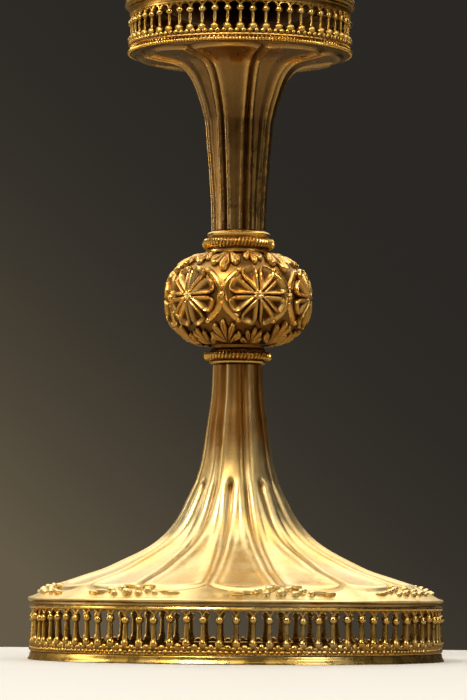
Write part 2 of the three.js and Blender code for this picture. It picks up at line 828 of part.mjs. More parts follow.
const gilded = (color, roughness) => new THREE.MeshStandardMaterial({ color, roughness, metalness: 1 });
const sheetGilt = gilded(0xd9b463, 0.28); // raised sheet
const castGilt = gilded(0xcf9f4a, 0.36); // cast galleries, rosettes and mouldings
const wireGilt = gilded(0xc8933c, 0.34); // twisted wires
const iron = gilded(0x6a645c, 0.55); // the hidden rod, washer and nut

const ciborium = new THREE.Group();

function add(name, geometry, material) {
  const mesh = new THREE.Mesh(geometry, material);
  mesh.name = name;
  ciborium.add(mesh);
}

add("base_ring", baseRing(), castGilt);
for (let index = 0; index < FOOT_ARCADE_SEGMENTS; index++) {
  const segment = arcadeSegment({
    radius: FOOT_GALLERY_RADIUS,
    index,
    segments: FOOT_ARCADE_SEGMENTS,
    count: FOOT_BALUSTERS_PER_SEGMENT,
    bottom: footArcadeBottom,
    height: FOOT_ARCADE_HEIGHT,
  });
  add(`foot_arcade_${index + 1}`, segment, castGilt);
}
add("foot_shell", footShell(), sheetGilt);

add("stem_rod", rod(), iron);
add("stem_washer", washer(), iron);
add("stem_nut", nut(), iron);

add("lower_collar", collar(LOWER_COLLAR_RADIUS, lowerCollarBottom, LOWER_COLLAR_HEIGHT, LOWER_WIRE_RADIUS), castGilt);
add("lower_collar_wire", collarWire(LOWER_COLLAR_RADIUS, lowerCollarBottom, LOWER_COLLAR_HEIGHT, LOWER_WIRE_RADIUS), wireGilt);
add("knop_lower_shell", knopShell(-1), sheetGilt);
add("knop_upper_shell", knopShell(1), sheetGilt);
for (let index = 0; index < ROSETTES; index++) add(`knop_rosette_${index + 1}`, rosette(index), castGilt);
add("upper_collar", collar(UPPER_COLLAR_RADIUS, upperCollarBottom, UPPER_COLLAR_HEIGHT, UPPER_WIRE_RADIUS), castGilt);
add("upper_collar_wire", collarWire(UPPER_COLLAR_RADIUS, upperCollarBottom, UPPER_COLLAR_HEIGHT, UPPER_WIRE_RADIUS), wireGilt);
add("upper_stem_shell", upperStem(), sheetGilt);

add("gallery_base_ring", galleryBase(), castGilt);
add("gallery_floor", galleryFloor(), sheetGilt);
for (let index = 0; index < UPPER_ARCADE_SEGMENTS; index++) {
  const segment = arcadeSegment({
    radius: UPPER_GALLERY_RADIUS,
    index,
    segments: UPPER_ARCADE_SEGMENTS,
    count: UPPER_BALUSTERS_PER_SEGMENT,
    bottom: upperArcadeBottom,
    height: UPPER_ARCADE_HEIGHT,
  });
  add(`upper_arcade_${index + 1}`, segment, castGilt);
}
add("crown_ring", crownRing(), castGilt);

add("bowl_boss", boss(), sheetGilt);
add("bowl", bowl(), sheetGilt);
add("bowl_rim_ring", rimRing(bowlRim - RIM_RING_HEIGHT), castGilt);

add("bowl_hinge_leaf", hingeLeaf(-1, [-1, 1], [0], stops([-1, 1])), castGilt);
add("lid_hinge_leaf", hingeLeaf(1, [0], [-1, 1]), castGilt);
add("hinge_pin", hingePin(), castGilt);

add("lid_rim_ring", rimRing(lidBottom), castGilt);
add("lid_shell", lidShell(), sheetGilt);
add("lid_bezel", lidBezel(), sheetGilt);
add("lid_thumb_piece", thumbPiece(), castGilt);

add("finial_collar", finialCollar(), wireGilt);
add("finial_knop", finialKnop(), castGilt);
add("finial_pin", finialPin(), iron);
add("finial_cross", cross(), castGilt);

export default ciborium;
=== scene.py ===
import math

import bmesh
import bpy
import numpy as np
from mathutils import Matrix


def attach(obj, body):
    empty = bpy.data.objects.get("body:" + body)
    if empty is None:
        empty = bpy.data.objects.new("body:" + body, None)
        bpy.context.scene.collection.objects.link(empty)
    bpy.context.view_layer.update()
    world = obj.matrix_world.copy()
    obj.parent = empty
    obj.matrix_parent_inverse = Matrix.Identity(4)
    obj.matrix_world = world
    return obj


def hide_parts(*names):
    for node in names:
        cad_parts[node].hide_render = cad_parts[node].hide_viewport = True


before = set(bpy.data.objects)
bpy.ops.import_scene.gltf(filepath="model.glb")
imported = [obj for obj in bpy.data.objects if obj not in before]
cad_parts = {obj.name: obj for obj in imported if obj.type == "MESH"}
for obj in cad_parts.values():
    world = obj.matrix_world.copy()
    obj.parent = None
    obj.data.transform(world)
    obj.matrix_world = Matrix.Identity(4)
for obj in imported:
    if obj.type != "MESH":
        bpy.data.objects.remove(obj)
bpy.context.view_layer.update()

MM = 0.001
VESSEL = "vessel"
LID = "lid"
FLUTES = 8
FIRST_FLUTE = 13.5


# ---- Nodes -------------------------------------------------------------------------------------


class Nodes:
    """Adds nodes to a tree. An input is filled with a value or with another node's output."""

    def __init__(self, tree):
        self.tree = tree

    def node(self, kind, inputs=(), **settings):
        made = self.tree.nodes.new(kind)
        for key, value in settings.items():
            setattr(made, key, value)
        for key, value in dict(inputs).items():
            self.fill(made.inputs[key], value)
        return made

    def fill(self, socket, value):
        if isinstance(value, bpy.types.NodeSocket):
            self.tree.links.new(value, socket)
        else:
            socket.default_value = value

    def math(self, operation, first, second=0.0, clamp=False):
        inputs = {0: first, 1: second}
        return self.node("ShaderNodeMath", inputs, operation=operation, use_clamp=clamp).outputs[0]

    def span(self, value, low, high, out_low=0.0, out_high=1.0, blend="SMOOTHSTEP"):
        inputs = {"Value": value, "From Min": low, "From Max": high, "To Min": out_low, "To Max": out_high}
        return self.node("ShaderNodeMapRange", inputs, interpolation_type=blend).outputs["Result"]

    def mix(self, share, first, second):
        """A blend of two colours."""
        colors = [(*color, 1) if isinstance(color, tuple) else color for color in (first, second)]
        made = self.node("ShaderNodeMix", data_type="RGBA")
        for key, value in zip(("Factor", "A", "B"), (share, *colors)):
            self.fill(made.inputs[key], value)
        return made.outputs["Result"]


# ---- Camera, light and table -------------------------------------------------------------------

CAMERA_PLACE = (-0.0016, -1.329, 0.030)
CAMERA_LENS = 187.7
CAMERA_TILT = 3.56
CAMERA_ROLL = 0.4

WARM = (1.0, 0.93, 0.82)
SOFT_BOXES = (  # name, place, point it faces, size, power
    ("key_light", (-0.5, -0.95, 1.2), (0, 0, 0.12), (0.4, 0.3), 12.5),
    ("fill_light", (1.0, -1.0, 0.75), (0, 0, 0.15), (0.3, 0.6), 4),
    ("overhead_light", (0, 0.2, 1.45), (0, 0, 0.05), (2.2, 2.0), 27.5),
    ("back_light", (0, 2.6, 1.75), (0, 0, 0.05), (3.2, 1.5), 21),
    ("front_light", (-0.3, -2.6, 1.2), (0, 0, 0.15), (2.6, 1.2), 0.8),
    ("side_light", (-1.2, 0.1, 0.5), (0, 0, 0.15), (0.2, 0.9), 3.5),
)

ROOM_DARK = (0.024, 0.0215, 0.018)
ROOM_LIGHTER = (0.125, 0.100, 0.061)
ROOM_GLOW = (0.15, 0.135, 0.115)

TABLE_SIZE = (2.6, 1.3, 0.03)
TABLE_FAR_EDGE = 0.213
TABLE_SEEN = (0.64, 0.64, 0.632)
# What everything but the camera sees of the table: darker than the camera sees it, a painted shade in its
# reflections and bounced light.
TABLE_SHADED_IN_REFLECTIONS = (0.27, 0.245, 0.205)


def set_camera():
    camera = bpy.data.objects.new("camera", bpy.data.cameras.new("camera"))
    bpy.context.scene.collection.objects.link(camera)
    camera.data.lens = CAMERA_LENS
    camera.data.sensor_width = 36.0
    camera.data.clip_end = 20.0
    look_up = Matrix.Rotation(math.radians(90 + CAMERA_TILT), 4, "X")
    roll = Matrix.Rotation(math.radians(CAMERA_ROLL), 4, "Z")
    camera.matrix_world = Matrix.Translation(CAMERA_PLACE) @ look_up @ roll
    bpy.context.scene.camera = camera


def set_light():
    for name, place, target, size, power in SOFT_BOXES:
        data = bpy.data.lights.new(name, "AREA")
        data.shape = "RECTANGLE"
        data.size, data.size_y = size
        data.energy = power
        data.color = WARM
        lamp = bpy.data.objects.new(name, data)
        lamp.visible_camera = False
        bpy.context.scene.collection.objects.link(lamp)
        lamp.location = place
        aim = Matrix.Translation(target).translation - lamp.location
        lamp.rotation_euler = aim.to_track_quat("-Z", "Y").to_euler()


def set_room():
    """A dark room, a little lighter low down and to the left, that the metal shows too."""
    world = bpy.data.worlds.new("room")
    bpy.context.scene.world = world
    world.use_nodes = True
    room = Nodes(world.node_tree)
    ray = room.node("ShaderNodeLightPath").outputs
    seen = room.math("ADD", ray["Is Camera Ray"], ray["Is Glossy Ray"], clamp=True)
    way = {0: room.node("ShaderNodeTexCoord").outputs["Generated"], 1: (-0.9, 0, -1)}
    slant = room.node("ShaderNodeVectorMath", way, operation="DOT_PRODUCT").outputs["Value"]
    fall = room.span(slant, -0.16, 0.05, blend="LINEAR")
    backdrop = room.mix(room.math("POWER", fall, 3), ROOM_DARK, ROOM_LIGHTER)
    room.fill(world.node_tree.nodes["Background"].inputs["Color"], room.mix(seen, ROOM_GLOW, backdrop))
    bpy.context.scene.view_settings.view_transform = "Standard"


def set_table():
    """A pale table top whose far edge is a little way behind the vessel."""
    _, depth, thick = TABLE_SIZE
    bm = bmesh.new()
    bmesh.ops.create_cube(bm, size=1)
    bmesh.ops.scale(bm, vec=TABLE_SIZE, verts=bm.verts)
    bmesh.ops.translate(bm, vec=(0, TABLE_FAR_EDGE - depth / 2, -thick / 2), verts=bm.verts)
    bmesh.ops.bevel(bm, geom=bm.edges, offset=0.002, segments=2, affect="EDGES")
    mesh = bpy.data.meshes.new("table_top")
    bm.to_mesh(mesh)
    table = bpy.data.objects.new("table_top", mesh)
    bpy.context.scene.collection.objects.link(table)
    material = bpy.data.materials.new("pale_table")
    material.use_nodes = True
    shader = material.node_tree.nodes["Principled BSDF"]
    shader.inputs["Roughness"].default_value = 0.6
    paint = Nodes(material.node_tree)
    # The camera sees the pale table; reflections and bounced light see it darker, as painted shade.
    seen = paint.node("ShaderNodeLightPath").outputs["Is Camera Ray"]
    paint.fill(shader.inputs["Base Color"], paint.mix(seen, TABLE_SHADED_IN_REFLECTIONS, TABLE_SEEN))
    mesh.materials.append(material)


# ---- Metals ------------------------------------------------------------------------------------


class Metal(Nodes):
    """Builds one metal finish from nodes on object coordinates."""

    def __init__(self, name):
        self.material = bpy.data.materials.new(name)
        self.material.use_nodes = True
        super().__init__(self.material.node_tree)
        self.shader = self.tree.nodes["Principled BSDF"]
        self.shader.inputs["Metallic"].default_value = 1.0
        self.place = self.node("ShaderNodeTexCoord").outputs["Object"]

    def give(self, name, value):
        self.fill(self.shader.inputs[name], value)

    def noise(self, scale, detail=3.0, roughness=0.55, stretch=None):
        place = self.place
        if stretch:
            place = self.node("ShaderNodeMapping", {"Scale": stretch, "Vector": place}).outputs["Vector"]
        inputs = {"Scale": scale, "Detail": detail, "Roughness": roughness, "Vector": place}
        return self.node("ShaderNodeTexNoise", inputs).outputs["Fac"]

    def part(self, value, share):
        return self.math("MULTIPLY", value, share)

    def add(self, first, second):
        return self.math("ADD", first, second, clamp=True)

    # The painted shade that a piece carries on its points.
    def painted_shade(self):
        return self.node("ShaderNodeAttribute", attribute_name="painted_shade").outputs["Fac"]

    def bump(self, height, distance):
        inputs = {"Strength": 0.5, "Distance": distance, "Height": height}
        self.give("Normal", self.node("ShaderNodeBump", inputs).outputs["Normal"])


def gilding(name, gold, worn, dirt_and_shade, wear, gloss, dull, hammer):
    """Fire gilding: patches worn to a paler metal, smears of dirt, the painted shade that each piece carries,
    fine scratches and dents.
    """
    metal = Metal(name)
    patches = metal.span(metal.noise(38, 4, 0.6), 0.5 - wear / 2, 0.78 - wear / 3)
    speckle = metal.span(metal.noise(900, 2, 0.5), 0.35, 0.8)
    deeper = tuple(channel * share for channel, share in zip(gold, (0.86, 0.76, 0.6)))
    tone = metal.mix(metal.part(speckle, 0.35), metal.mix(patches, gold, worn), deeper)
    smears = metal.span(metal.noise(120, 5, 0.65), 0.52, 0.78)
    # Darker where the piece's painted shade lies, and in smears of real dirt.
    darkening = metal.add(metal.part(smears, 0.13), metal.painted_shade())
    metal.give("Base Color", metal.mix(darkening, tone, dirt_and_shade))
    haze = metal.add(metal.part(smears, 0.16), metal.part(darkening, 0.14))
    metal.give("Roughness", metal.add(haze, metal.span(metal.noise(260, 3), 0.3, 0.75, gloss, dull)))
    scratches = metal.noise(1400, 2, 0.6, stretch=(1.0, 1.0, 0.12))
    dents = metal.noise(150, 2, 0.4)
    metal.bump(metal.add(metal.part(scratches, 0.02), metal.part(dents, hammer)), 0.0006)
    return metal.material


def dull_iron():
    metal = Metal("dull_iron")
    scale = metal.span(metal.noise(300, 5, 0.7), 0.4, 0.7)
    metal.give("Base Color", metal.mix(scale, (0.16, 0.145, 0.13), (0.09, 0.055, 0.035)))
    metal.give("Roughness", metal.span(scale, 0, 1, 0.45, 0.8))
    metal.bump(metal.noise(700, 4, 0.6), 0.0003)
    return metal.material


# gold, worn gold, the colour of dirt and of painted shade; then the wear, the roughness where bright and
# where dull, and the hammer marks
FOOT_GILT = gilding(
    "foot_gilding", (0.93, 0.66, 0.22), (0.95, 0.80, 0.44), (0.22, 0.094, 0.017), 0.42, 0.3, 0.42, 0.08
)
STEM_GILT = gilding(
    "stem_gilding", (0.82, 0.51, 0.17), (0.78, 0.56, 0.28), (0.115, 0.052, 0.016), 0.12, 0.15, 0.26, 0.08
)
KNOP_GILT = gilding(
    "knop_gilding", (0.92, 0.53, 0.12), (0.94, 0.67, 0.28), (0.10, 0.037, 0.009), 0.14, 0.25, 0.36, 0.12
)
CAST_GILT = gilding(
    "cast_gilding", (0.94, 0.60, 0.14), (0.94, 0.71, 0.29), (0.19, 0.072, 0.013), 0.16, 0.2, 0.34, 0.12
)
BOWL_GILT = gilding(
    "bowl_gilding", (0.90, 0.62, 0.21), (0.88, 0.73, 0.44), (0.24, 0.11, 0.03), 0.14, 0.13, 0.25, 0.15
)
IRON = dull_iron()


# ---- Meshes ------------------------------------------------------------------------------------


def piece(name, verts, faces, material, painted_shade=None, crease=38):
    """A welded mesh with its faces outwards. verts are millimetres."""
    mesh = bpy.data.meshes.new(name)
    faces = [list(dict.fromkeys(face)) for face in np.asarray(faces).tolist()]
    mesh.from_pydata((np.asarray(verts, dtype=float) * MM).tolist(), [], faces)
    # Each point's painted shade, which the gilding turns darker.
    if painted_shade is not None:
        layer = mesh.attributes.new("painted_shade", "FLOAT", "POINT")
        layer.data.foreach_set("value", np.clip(np.asarray(painted_shade, dtype=np.float32), 0, 1).ravel())
    bm = bmesh.new()
    bm.from_mesh(mesh)
    bmesh.ops.remove_doubles(bm, verts=bm.verts, dist=1e-6)
    if bm.calc_volume(signed=True) < 0:
        bmesh.ops.reverse_faces(bm, faces=bm.faces)
    bm.to_mesh(mesh)
    bm.free()
    mesh.polygons.foreach_set("use_smooth", [True] * len(mesh.polygons))
    mesh.set_sharp_from_angle(angle=math.radians(crease))
    mesh.materials.append(material)
    made = bpy.data.objects.new(name, mesh)
    bpy.context.scene.collection.objects.link(made)
    return made


def settle(made, *nodes, body=VESSEL, slot="cast_gilt"):
    """Puts a finished piece on its body and hides the nodes it stands for; slot is not used."""
    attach(made, body)
    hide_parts(*nodes)


def steps_round(count):
    """Even steps of one turn, as a column."""
    return np.arange(count)[:, None] * 2 * math.pi / count


def grid_faces(rows, columns, wrap_rows=True, wrap_columns=True):
    i = np.arange(rows if wrap_rows else rows - 1)
    j = np.arange(columns if wrap_columns else columns - 1)
    i, j = (grid.ravel() for grid in np.meshgrid(i, j, indexing="ij"))
    following, beside = (i + 1) % rows, (j + 1) % columns
    corners = (i * columns + j, i * columns + beside, following * columns + beside, following * columns + j)
    return np.stack(corners, axis=1)


def smooth_path(points, steps):
    """A smooth run of points through the given ones."""
    points = np.asarray(points, dtype=float)
    ends = np.vstack([2 * points[0] - points[1], points, 2 * points[-1] - points[-2]])
    run = []
    for before, start, end, after in zip(ends, ends[1:], ends[2:], ends[3:]):
        for t in np.arange(steps) / steps:
            bend = 2 * start + (end - before) * t
            bend = bend + (2 * before - 5 * start + 4 * end - after) * t**2
            run.append(0.5 * (bend + (3 * start - before - 3 * end + after) * t**3))
    return np.vstack([run, points[-1]])


def even_path(points, spacing):
    """The same run with its points evenly spaced."""
    lengths = np.concatenate([[0], np.cumsum(np.linalg.norm(np.diff(points, axis=0), axis=1))])
    places = np.linspace(0, lengths[-1], max(2, int(lengths[-1] / spacing)) + 1)
    return np.stack([np.interp(places, lengths, points[:, k]) for k in range(2)], axis=1)


def round_the_stem(radii, heights, angles):
    return np.stack([radii * np.sin(angles), -radii * np.cos(angles), heights + 0 * angles], axis=-1)


def turned(name, loop, material, segments=192, painted_shade=None):
    """A ring or a solid turned from a closed loop of (radius, height)."""
    loop = np.asarray(loop, dtype=float)
    verts = round_the_stem(loop[None, :, 0], loop[None, :, 1], steps_round(segments))
    shade = None if painted_shade is None else np.tile(np.asarray(painted_shade, dtype=float), segments)
    return piece(name, verts.reshape(-1, 3), grid_faces(segments, len(loop)), material, shade)


def moulding(name, profile, segments, *nodes, material=CAST_GILT, **place):
    """A ring turned from a closed loop of (radius, height, painted shade), on its body."""
    profile = np.asarray(profile, dtype=float)
    settle(turned(name, profile[:, :2], material, segments, profile[:, 2]), *nodes, **place)


def path_normals(path):
    along = np.gradient(path, axis=0)
    along /= np.linalg.norm(along, axis=1)[:, None]
    return np.stack([along[:, 1], -along[:, 0]], axis=1)


def unseen_rows(count, step):
    """The rows that are enough for the side that is seldom seen, last row first."""
    return np.append(np.arange(count - 1, 0, -step), 0)


def chased_shell(name, path, wall, relief, material, segments, inner_share=0.7, bore=0.4):
    """A sheet shell turned from a path that runs up its outside. relief(angles, radii, heights) gives how
    far the sheet is raised there, and how much painted shade lies on it."""
    normals = path_normals(path)
    angles = steps_round(segments)
    raised, darkening = relief(angles, path[None, :, 0], path[None, :, 1])
    rows = unseen_rows(len(path), 4)
    sunk = raised * inner_share - wall
    outer_r, outer_z = (path[None, :, k] + normals[None, :, k] * raised for k in range(2))
    inner_r, inner_z = (path[None, :, k] + normals[None, :, k] * sunk for k in range(2))
    radii = np.concatenate([outer_r, np.maximum(inner_r, bore)[:, rows]], axis=1)
    heights = np.concatenate([outer_z, inner_z[:, rows]], axis=1)
    # The inside carries an even painted shade.
    shade = np.concatenate([darkening, np.full((segments, len(rows)), 0.35)], axis=1)
    verts = round_the_stem(radii, heights, angles)
    faces = grid_faces(segments, radii.shape[1])
    return piece(name, verts.reshape(-1, 3), faces, material, shade.ravel(), crease=50)


def turned_bit(points, sides):
    """A small solid turned from (radius, height) points that start and end on its own axis."""
    points = np.asarray(points, dtype=float)
    verts = round_the_stem(points[None, :, 0], points[None, :, 1], steps_round(sides))
    return verts.reshape(-1, 3), grid_faces(sides, len(points), wrap_columns=False)


def bead(size, centre=(0, 0, 0), sides=10, rings=6, tilt=None):
    """An ellipsoid of the given three half sizes."""
    turns = np.linspace(-math.pi / 2, math.pi / 2, rings + 1)
    verts, faces = turned_bit(np.stack([np.cos(turns), np.sin(turns)], axis=1), sides)
    verts = verts * np.asarray(size)
    if tilt is not None:
        verts = verts @ np.asarray(tilt.to_3x3()).T
    return verts + np.asarray(centre), faces


def rod_along(path, radius, sides=6):
    """A round wire along a path of 3-D points, with closed ends."""
    path = np.asarray(path, dtype=float)
    along = np.gradient(path, axis=0)
    along /= np.linalg.norm(along, axis=1)[:, None]
    side = np.cross(along, (0.0, 1.0, 0.0))
    side /= np.linalg.norm(side, axis=1)[:, None]
    up = np.cross(side, along)
    turns = np.arange(sides) * 2 * math.pi / sides
    rims = path[:, None] + radius * (
        np.cos(turns)[None, :, None] * side[:, None] + np.sin(turns)[None, :, None] * up[:, None]
    )
    rims = np.concatenate([np.repeat(path[:1, None], sides, 1), rims, np.repeat(path[-1:, None], sides, 1)])
    return rims.reshape(-1, 3), grid_faces(len(rims), sides, wrap_rows=False)


def together(*bits):
    verts, faces, count = [], [], 0
    for bit_verts, bit_faces in bits:
        verts.append(bit_verts)
        faces.append(bit_faces + count)
        count += len(bit_verts)
    return np.vstack(verts), np.vstack(faces)


def bit_from(bm):
    """A bit made of a finished bmesh's triangles."""
    bmesh.ops.triangulate(bm, faces=bm.faces)
    bm.verts.index_update()
    verts = np.array([tuple(vert.co) for vert in bm.verts])
    faces = np.array([[vert.index for vert in face.verts] for face in bm.faces])[:, [0, 1, 2, 2]]
    bm.free()
    return verts, faces


# ---- Copies round the stem ---------------------------------------------------------------------


def copies_tree():
    """Sets copies of a bit on a circle round the stem, each facing outwards, with a hand-made wobble."""
    tree = bpy.data.node_groups.new("copies_round_the_stem", "GeometryNodeTree")
    sizes = ("Circle radius", "Height", "First angle", "Lean", "Growth")
    kinds = {"Bit": "Geometry", "Copies": "Int", **dict.fromkeys(sizes, "Float")}
    kinds |= {"Seed": "Int", "Finish": "Material"}
    for name, kind in kinds.items():
        tree.interface.new_socket(name, in_out="INPUT", socket_type="NodeSocket" + kind)
    tree.interface.new_socket("Ring", in_out="OUTPUT", socket_type="NodeSocketGeometry")
    nodes = Nodes(tree)
    given = nodes.node("NodeGroupInput").outputs
    math_of = nodes.math

    def vector(*values):
        return nodes.node("ShaderNodeCombineXYZ", dict(enumerate(values))).outputs[0]

    def wobble(reach, step):
        inputs = {2: math_of("MULTIPLY", reach, -1.0), 3: reach, "Seed": math_of("ADD", given["Seed"], step)}
        return nodes.node("FunctionNodeRandomValue", inputs, data_type="FLOAT").outputs[1]

    index = nodes.node("GeometryNodeInputIndex").outputs[0]
    step = math_of("DIVIDE", 2 * math.pi, given["Copies"])
    angle = math_of("ADD", math_of("MULTIPLY", index, step), given["First angle"])
    x = math_of("MULTIPLY", math_of("SINE", angle), given["Circle radius"])
    y = math_of("MULTIPLY", math_of("COSINE", angle), math_of("MULTIPLY", given["Circle radius"], -1.0))
    places = {"Count": given["Copies"], "Position": vector(x, y, given["Height"])}
    width, tall = (math_of("ADD", wobble(given["Growth"], step), 1.0) for step in (3, 4))
    instances = {
        "Points": nodes.node("GeometryNodePoints", places).outputs[0],
        "Instance": given["Bit"],
        "Rotation": vector(wobble(given["Lean"], 1), wobble(given["Lean"], 2), angle),
        "Scale": vector(width, width, tall),
    }
    copies = nodes.node("GeometryNodeInstanceOnPoints", instances).outputs[0]
    real = nodes.node("GeometryNodeRealizeInstances", {0: copies}).outputs[0]
    finish = nodes.node("GeometryNodeSetMaterial", {"Geometry": real, "Material": given["Finish"]}).outputs[0]
    nodes.node("NodeGroupOutput", {"Ring": finish})
    return tree


COPIES = copies_tree()
COPIES_INPUTS = {item.name: item.identifier for item in COPIES.interface.items_tree if item.in_out == "INPUT"}


def ring_of(
    name, bit, copies, material, radius=0.0, height=0.0, first=0.0, lean=0.0, growth=0.0, painted_shade=None
):
    """A piece made of copies of one bit, set on a circle round the stem."""
    made = piece(name, *bit, material, painted_shade)
    maker = made.modifiers.new("copies", "NODES")
    maker.node_group = COPIES
    values = {
        "Copies": copies,
        "Circle radius": radius * MM,
        "Height": height * MM,
        "First angle": math.radians(first),
        "Lean": math.radians(lean),
        "Growth": growth,
        "Seed": copies,
        "Finish": material,
    }
    for key, value in values.items():
        maker[COPIES_INPUTS[key]] = value
    evaluated = made.evaluated_get(bpy.context.evaluated_depsgraph_get())
    mesh = bpy.data.meshes.new_from_object(evaluated)
    made.modifiers.clear()
    made.data = mesh
    mesh.name = name
    return made


def shade_below(bit, level, fall):
    """Painted shade that deepens down a bit."""
    return np.clip(level - bit[0][:, 2] * fall, 0, 1)


ROPE_LEAN = 16


def rope(name, radius, height, thick, strands, node, **place):
    """A ring of twisted wire: oblique strands lying on a core."""
    tilt = Matrix.Rotation(math.radians(ROPE_LEAN), 4, "Y")
    width = math.pi * radius / strands * 0.82
    strand = bead((width, thick * 0.8, thick), (0, 0, 0), 8, 6, tilt)
    # Painted shade: darker down the sides of each strand, and on the core that shows between them.
    shade = np.clip(1.1 - np.abs(strand[0][:, 1]) / (thick * 0.5), 0, 1) * 0.6
    strands_ring = ring_of(name, strand, strands, CAST_GILT, radius, height, growth=0.03, painted_shade=shade)
    settle(strands_ring, node, **place)
    turns = np.arange(14) * 2 * math.pi / 14
    core = np.stack([radius + 0.55 * thick * np.cos(turns), height + 0.72 * thick * np.sin(turns)], axis=1)
    settle(turned(name + "_core", core, CAST_GILT, 96, np.full(14, 0.85)), node, **place)


# ---- Chasing -----------------------------------------------------------------------------------


def near(distance, reach):
    return np.exp(-((distance / reach) ** 2))


def from_groove(angles, radii, count, first):
    """Distance in mm to the nearest of evenly spaced grooves, and the share of the way to it."""
    spacing = 2 * math.pi / count
    turns = (angles - math.radians(first)) / spacing
    away = np.abs(turns - np.round(turns))
    return away * spacing * radii, 1 - 2 * away


def tongue_edge(side, share, tip, rounding, along):
    """Distance to the edge of a tongue with a rounded tip, and whether the place is inside it."""
    end = tip - rounding * (1 - np.sqrt(np.maximum(1 - share**2, 0))) - along
    return np.where(end > 0, np.minimum(side, np.maximum(end, 0)), np.abs(end)), end > 0


def tongues(angles, radii, count, tip, rounding, cut):
    """Dished tongues between grooves, with soft ridges along their edges and rounded tips.
    Below the tips, towards the stem, they run on; beyond them the sheet is plain."""
    side, share = from_groove(angles, radii, count, FIRST_FLUTE)
    edge, inside = tongue_edge(side, share, tip, rounding, radii)
    groove = near(edge, cut["groove_width"]) * cut["groove"]
    ridge = near(edge - cut["ridge_in"], cut["ridge_width"]) * cut["ridge"]
    dish = (1 - near(edge, cut["ridge_in"] * 1.7)) * cut["dish"] * radii
    return -groove + np.where(inside, ridge - dish, 0)


def short_and_long(angles, radii, heights, top, tip, rounding, cut):
    """Tongues at every groove up to the height where the short grooves end, and longer ones above it."""
    every = tongues(angles, radii, 2 * FLUTES, tip, rounding, cut)
    main = tongues(angles, radii, FLUTES, tip, rounding, STEM_CUT)
    low = 1 / (1 + np.exp((heights - top) / 0.7))
    return low * every + (1 - low) * main, low


# Painted shade in a relief's hollows, darker the deeper they are.
def shade_in_hollows(raised, depth):
    return np.clip(-raised / depth, 0, 1) ** 1.3


# ---- Foot --------------------------------------------------------------------------------------

FOOT_PROFILE = [
    (73.6, 22.7), (71.5, 23.8), (66.1, 26.7), (57.5, 29.6), (48.6, 32.5), (42.0, 35.5), (36.0, 38.4),
    (31.0, 41.3), (27.2, 44.2), (24.4, 47.1), (22.2, 50.0), (20.4, 52.9), (18.9, 55.8), (17.5, 58.7),
    (16.1, 61.7), (15.0, 64.6), (13.3, 70.5), (12.3, 76.0), (11.5, 82.0), (10.7, 88.0), (9.8, 93.7),
    (9.3, 99.5), (9.1, 107.0),
]
FOOT_RIM = [
    (73.2, 20.0), (73.2, 20.7), (73.6, 21.0), (74.7, 21.1),
    (75.3, 21.4), (75.4, 21.9), (74.9, 22.4), (74.2, 22.5),
]
FOOT_CUT = dict(groove=0.85, groove_width=0.95, ridge=0.42, ridge_in=2.9, ridge_width=1.7, dish=0.013)
STEM_CUT = dict(groove=0.62, groove_width=0.95, ridge=0.12, ridge_in=2.4, ridge_width=1.1, dish=0.006)
TONGUE_TIP = 68.3
TIP_ROUNDING = 6.0
SHORT_GROOVES_END = 63.5


def foot_relief(angles, radii, heights):
    tongue = (SHORT_GROOVES_END, TONGUE_TIP, TIP_ROUNDING, FOOT_CUT)
    raised, low = short_and_long(angles, radii, heights, *tongue)
    between, _ = from_groove(angles, radii, FLUTES, FIRST_FLUTE + 180 / FLUTES)
    dimple = 0.9 * near(between, 1.0) * near(heights - 63.2, 1.5)
    raised = raised * np.clip((75 - radii) / 3, 0, 1) - dimple
    uneven = 0.16 * np.sin(5 * angles + heights / 7) + 0.11 * np.sin(11 * angles - heights / 3.1)
    # Painted shade: in the grooves, a deeper tone near the short grooves, and darker up the neck towards the
    # stem, with painted streaks round it.
    side, _ = from_groove(angles, radii, 2 * FLUTES, FIRST_FLUTE)
    warm_edge = 0.24 * near(side, 3.2) * low
    rise = np.clip((heights - 53) / 34, 0, 1)
    streaks = 0.16 * np.sin(7 * angles + 1.3) + 0.12 * np.sin(19 * angles + 0.4)
    shade_up_the_neck = rise * rise * (3 - 2 * rise) * (0.92 + streaks)
    darkening = shade_in_hollows(raised + 0.25, 0.9) * 0.8 + warm_edge + shade_up_the_neck
    return raised + uneven * np.clip(radii / 40, 0.2, 1), darkening


def foot_shell():
    path = np.vstack([FOOT_RIM, even_path(smooth_path(FOOT_PROFILE, 8), 0.82)])
    made = chased_shell("foot_dome", path, 1.1, foot_relief, FOOT_GILT, 512)
    settle(made, "foot_shell", slot="sheet_gilt")


def on_foot(angle, radius, lift):
    heights = smooth_path(FOOT_PROFILE, 8)
    order = np.argsort(heights[:, 0])
    height = np.interp(radius, heights[order, 0], heights[order, 1])
    turn = math.radians(angle)
    return np.array([radius * math.sin(turn), -radius * math.cos(turn), height + lift])


BERRIES = (  # angle from the groove, radius, size
    (-7.4, 69.4, 1.7), (-5.2, 71.2, 1.5), (-3.9, 68.2, 1.8), (-1.0, 70.6, 2.1), (1.8, 68.3, 1.7),
    (3.1, 71.2, 1.6), (5.5, 69.6, 1.8), (8.0, 70.8, 1.5),
)
BERRY_LEAVES = (  # angle from the groove, radius, swing
    (-10.6, 70.2, 16), (11.0, 70.2, -14), (-2.6, 66.4, -10),
    (4.4, 66.6, 12), (-13.2, 70.9, -8), (13.6, 70.9, 8),
)


